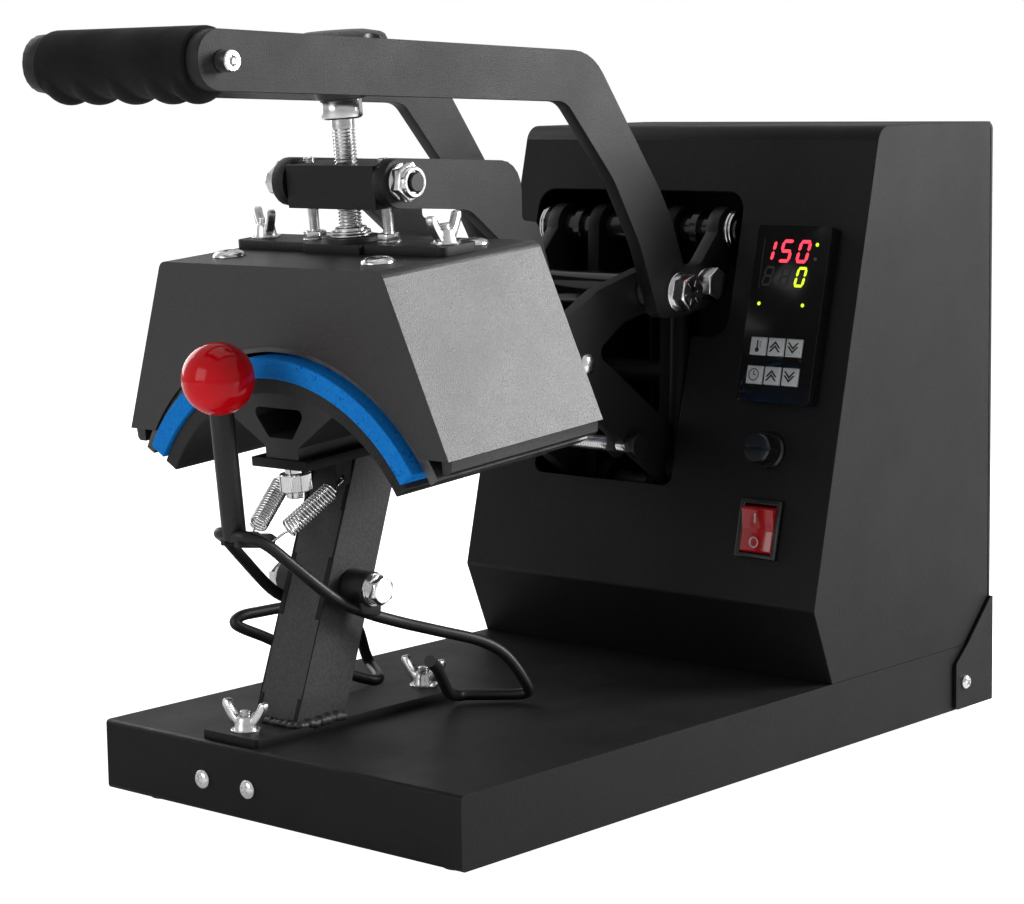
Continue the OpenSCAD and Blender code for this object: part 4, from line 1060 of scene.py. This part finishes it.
def buildSprings():
    s = springs
    cos, sin = math.cos(platenLean), math.sin(platenLean)
    top = Vector((s["topX"], platenAt[1] + s["topY"] * cos - s["topZ"] * sin,
                  platenAt[2] + s["topY"] * sin + s["topZ"] * cos))
    low = Vector(s["low"])
    axis = (low - top).normalized()
    across = Vector((0, 0, 1)).cross(axis).normalized()
    third = axis.cross(across)
    span = (low - top).length
    first = (span - s["turns"] * s["pitch"]) / 2
    coil = [(1, 0, first - 2.4), (3.6, 0, first - 0.8)]
    for i in range(s["steps"] * s["turns"] + 1):
        turn = i / s["steps"]
        coil.append((s["coil"] * math.cos(math.tau * turn), s["coil"] * math.sin(math.tau * turn),
                     first + s["pitch"] * turn))
    coil += [(3.6, 0, span - first + 0.8), (1, 0, span - first + 2.4)]
    bend = Vector((-0.3, 0, 0))
    path = [top + Vector(p) for p in s["topHook"]] + [top + bend + 0.8 * axis, top + 2.4 * axis]
    path += [top + p[0] * across + p[1] * third + p[2] * axis for p in coil]
    path += [low - 2.4 * axis, low + bend - 0.8 * axis] + [low + Vector(p) for p in s["lowHook"]]
    for node, side in (("tension_spring_right", 1), ("tension_spring_left", -1)):
        spring = settle(wire(node + "_wire", [(side * p.x, p.y, p.z) for p in path], s["wire"]), "middle")
        shade(spring, "springSteel", 50)
        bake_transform(spring)
        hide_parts(node)


buildHoldDown()
buildSprings()
print("hold-down and springs made")


# Controller, key marks and switch

# Each stroke of a digit: place across, place up, upright
digitStrokes = {"a": (0, 2, 0), "b": (1, 1, 1), "c": (1, -1, 1), "d": (0, -2, 0), "e": (-1, -1, 1), "f": (-1, 1, 1),
                "g": (0, 0, 0)}
digitShapes = {"0": "abcdef", "1": "bc", "5": "acdfg", "8": "abcdefg"}

# Heights above the panel
levels = dict(digit=8.62, lamp=9, round=10.35, mark=10.42)
markThickness = 0.16


def onPanel(obj, at, level):
    return settle(obj, "panel", (*at, levels[level]))


def digit(shape, centre, width, height, stroke, slant=10):
    parts = []
    lean = math.tan(math.radians(slant))
    for key in digitShapes[shape]:
        sx, sy, upright = digitStrokes[key]
        half, tip = ((height / 2 if upright else width) - stroke * 0.35) / 2, stroke / 2
        flat = half - tip
        outline = [(-half, 0), (-flat, tip), (flat, tip), (half, 0), (flat, -tip), (-flat, -tip)]
        if upright:
            outline = [(y, x) for x, y in outline]
        cx, cy = sx * (width - stroke * 0.6) / 2, sy * height / 4
        outline = [(cx + x + (cy + y) * lean, cy + y) for x, y in outline]
        parts.append(onPanel(plate("stroke", outline, markThickness), centre, "digit"))
    return joined("digit", parts)


displays = {
    "display_red": dict(finish="litRed", size=(7.0, 10.8, 1.8),
                        digits=[("1", (69.4, 189.8)), ("5", (80.6, 189.8)), ("0", (92.0, 189.8))]),
    "display_lime": dict(finish="litLime", size=(5.9, 9.6, 1.5), digits=[("0", (92.2, 176.0))]),
    "display_unlit": dict(finish="unlitGrey", size=(5.9, 9.6, 1.4),
                          digits=[("8", (70.8, 176.0)), ("8", (81.6, 176.0))]),
}
lamps = {"lamp_top": ("litLime", (100.6, 193.7)), "lamp_second": ("unlitGrey", (100.5, 185.9)),
         "lamp_left": ("litLime", (67.6, 160.75)), "lamp_right": ("litLime", (96.3, 160.8))}
lampDome = [(1.0, 0), (1.05, 0.1), (0.9, 0.35), (0.5, 0.5)]


def buildController():
    for name, d in displays.items():
        added("controller_display", d["finish"], [digit(shape, at, *d["size"]) for shape, at in d["digits"]], name)
    for name, (finishName, at) in lamps.items():
        added("controller_case", finishName, [onPanel(turned(name, lampDome, 20), at, "lamp")], name)


# Two chevrons on each arrow key: size, width of the cut and distances from the middle of the key
keyChevron = dict(width=7.4, height=3.9, cut=1.25, ahead=1.2, behind=-0.9)
keyMarks = {"key_top_mid": ((83.1, 137.6), 1), "key_low_mid": ((83.2, 122), 1), "key_top_right": ((94.8, 137.6), -1),
            "key_low_right": ((94.9, 122), -1)}
heatMark = dict(bulb=(71.4, 135.5), stem=(71.4, 138.4), ticks=(73.2, 137.4), step=1.2)
timeMark = dict(at=(71.5, 122), radius=3.1, line=0.3)


def chevron(at, way):
    w, h, cut = keyChevron["width"] / 2, way * keyChevron["height"] / 2, keyChevron["cut"]
    outline = [(-w, -h), (0, h), (w, -h), (w - cut, -h), (0, h - way * cut * 1.15), (-w + cut, -h)]
    return onPanel(plate("chevron", outline, markThickness), at, "mark")


def circle(radius, at=(0, 0, 0), steps=36):
    angles = [math.tau * i / steps for i in range(steps + 1)]
    return [(radius * math.cos(a) + at[0], radius * math.sin(a) + at[1], at[2]) for a in angles]


def buildKeyMarks():
    for node, ((x, y), way) in keyMarks.items():
        parts = [chevron((x, y + way * keyChevron[place]), way) for place in ("ahead", "behind")]
        added(node, "markBlack", parts, node + "_mark")
    h, t = heatMark, timeMark
    heat = [onPanel(turned("bulb", [(1.3, 0), (1.3, 0.15)], 24), h["bulb"], "round"),
            onPanel(block("stem", (0.9, 4.6, markThickness)), h["stem"], "mark")]
    heat += [onPanel(block("tick", (1.2, 0.35, markThickness)), (h["ticks"][0], h["ticks"][1] + k * h["step"]), "mark")
             for k in range(3)]
    added("key_top_left", "markBlack", heat, "key_heat_mark")
    clock = [onPanel(wire("ring", circle(t["radius"]), t["line"], 2), t["at"], "round"),
             onPanel(block("hand", (0.45, 2.4, markThickness), (0, 1.0, 0)), t["at"], "mark"),
             onPanel(block("hand", (1.8, 0.45, markThickness), (0.8, 0, 0)), t["at"], "mark")]
    added("key_low_left", "markBlack", clock, "key_time_mark")


rockerMarks = dict(bar=(0, 6.6, 7.42), barSize=(0.9, 5.2, 0.3), ring=(0, -6.4, 7.4), radius=2.6, line=0.38,
                   tilt=8.0, at=(82.3, 40, -2.0))


def buildRockerMarks():
    r = rockerMarks
    bar = block("bar", r["barSize"], r["bar"])
    marks = joined("rocker_marks", [bar, wire("ring", circle(r["radius"], r["ring"]), r["line"], 2)])
    moved(marks, frames["panel"] @ offset(r["at"]) @ Matrix.Rotation(math.radians(r["tilt"]), 4, "X"))
    added("switch_rocker", "markPale", [marks], "rocker_marks")


buildController()
buildKeyMarks()
buildRockerMarks()
print("controller, keys and rocker marks made")


# Stage, lights and camera

def buildStage():
    clear()
    bpy.ops.mesh.primitive_plane_add(size=12, location=(0, 0, 0))
    floor = named("floor")
    material = bpy.data.materials.new("paleFloor")
    material.use_nodes = True
    tree = material.node_tree
    path = tree.nodes.new("ShaderNodeLightPath").outputs
    seen = maths(tree, "MAXIMUM", path["Is Camera Ray"], path["Is Glossy Ray"])
    glow = maths(tree, "MULTIPLY_ADD", path["Is Camera Ray"], 0.8, maths(tree, "MULTIPLY", seen, 0.25))
    put(tree, tree.nodes["Principled BSDF"], {
        "Base Color": colour(0.86), "Roughness": 0.9, "Specular IOR Level": 0.1,
        "Emission Color": colour(1), "Emission Strength": glow,
    })
    floor.data.materials.append(material)

    world = bpy.data.worlds.new("studio")
    bpy.context.scene.world = world
    world.use_nodes = True
    tree = world.node_tree
    tree.nodes.clear()
    path = tree.nodes.new("ShaderNodeLightPath").outputs
    seen = maths(tree, "MAXIMUM", path["Is Camera Ray"], path["Is Transmission Ray"])
    mirrored = maths(tree, "MULTIPLY_ADD", path["Is Glossy Ray"], 0.46, 0.04)
    background = tree.nodes.new("ShaderNodeBackground")
    put(tree, background, {"Color": (1, 1, 1, 1), "Strength": maths(tree, "MAXIMUM", seen, mirrored)})
    output = tree.nodes.new("ShaderNodeOutputWorld")
    tree.links.new(background.outputs[0], output.inputs["Surface"])


def softbox(name, location, target, size, power):
    clear()
    bpy.ops.object.light_add(type="AREA", location=location)
    lamp = named(name)
    lamp.data.shape = "RECTANGLE"
    lamp.data.size, lamp.data.size_y = size
    lamp.data.energy = power
    lamp.rotation_euler = (Vector(target) - Vector(location)).to_track_quat("-Z", "Y").to_euler()


lights = {
    "rightBack": dict(location=(1.0, 1.1, 0.78), target=(0.06, -0.08, 0.22), size=(0.8, 0.8), power=34),
    "left": dict(location=(-1.6, 0.2, 0.7), target=(0, 0, 0.2), size=(1.0, 1.0), power=9),
    "front": dict(location=(-0.3, -1.8, 0.7), target=(0, 0, 0.2), size=(1.0, 1.0), power=8),
    "overhead": dict(location=(-0.1, 0.0, 1.8), target=(0, 0, 0.15), size=(1.2, 1.2), power=2),
}

cameraAt = dict(location=(0.96256, -1.08307, 0.36457), azimuth=41.79, elevation=7.78, roll=-0.95, lens=96.606)


def buildCamera():
    clear()
    azimuth, elevation, roll = (math.radians(cameraAt[k]) for k in ("azimuth", "elevation", "roll"))
    level = math.cos(elevation)
    forward = Vector((-math.sin(azimuth) * level, math.cos(azimuth) * level, -math.sin(elevation)))
    right = Vector((math.cos(azimuth), math.sin(azimuth), 0))
    up = right.cross(forward)
    right, up = (math.cos(roll) * right + math.sin(roll) * up, -math.sin(roll) * right + math.cos(roll) * up)
    bpy.ops.object.camera_add(location=cameraAt["location"])
    camera = bpy.context.object
    camera.matrix_world = Matrix.Translation(cameraAt["location"]) @ Matrix((right, up, -forward)).transposed().to_4x4()
    camera.data.sensor_fit = "HORIZONTAL"
    camera.data.sensor_width = 36
    camera.data.lens = cameraAt["lens"]
    camera.data.clip_start = 0.05
    camera.data.clip_end = 50
    bpy.context.scene.camera = camera


buildStage()
for name, values in lights.items():
    softbox(name, **values)
buildCamera()
bpy.context.scene.view_settings.view_transform = "Standard"
print("stage, lights and camera set")

clear()
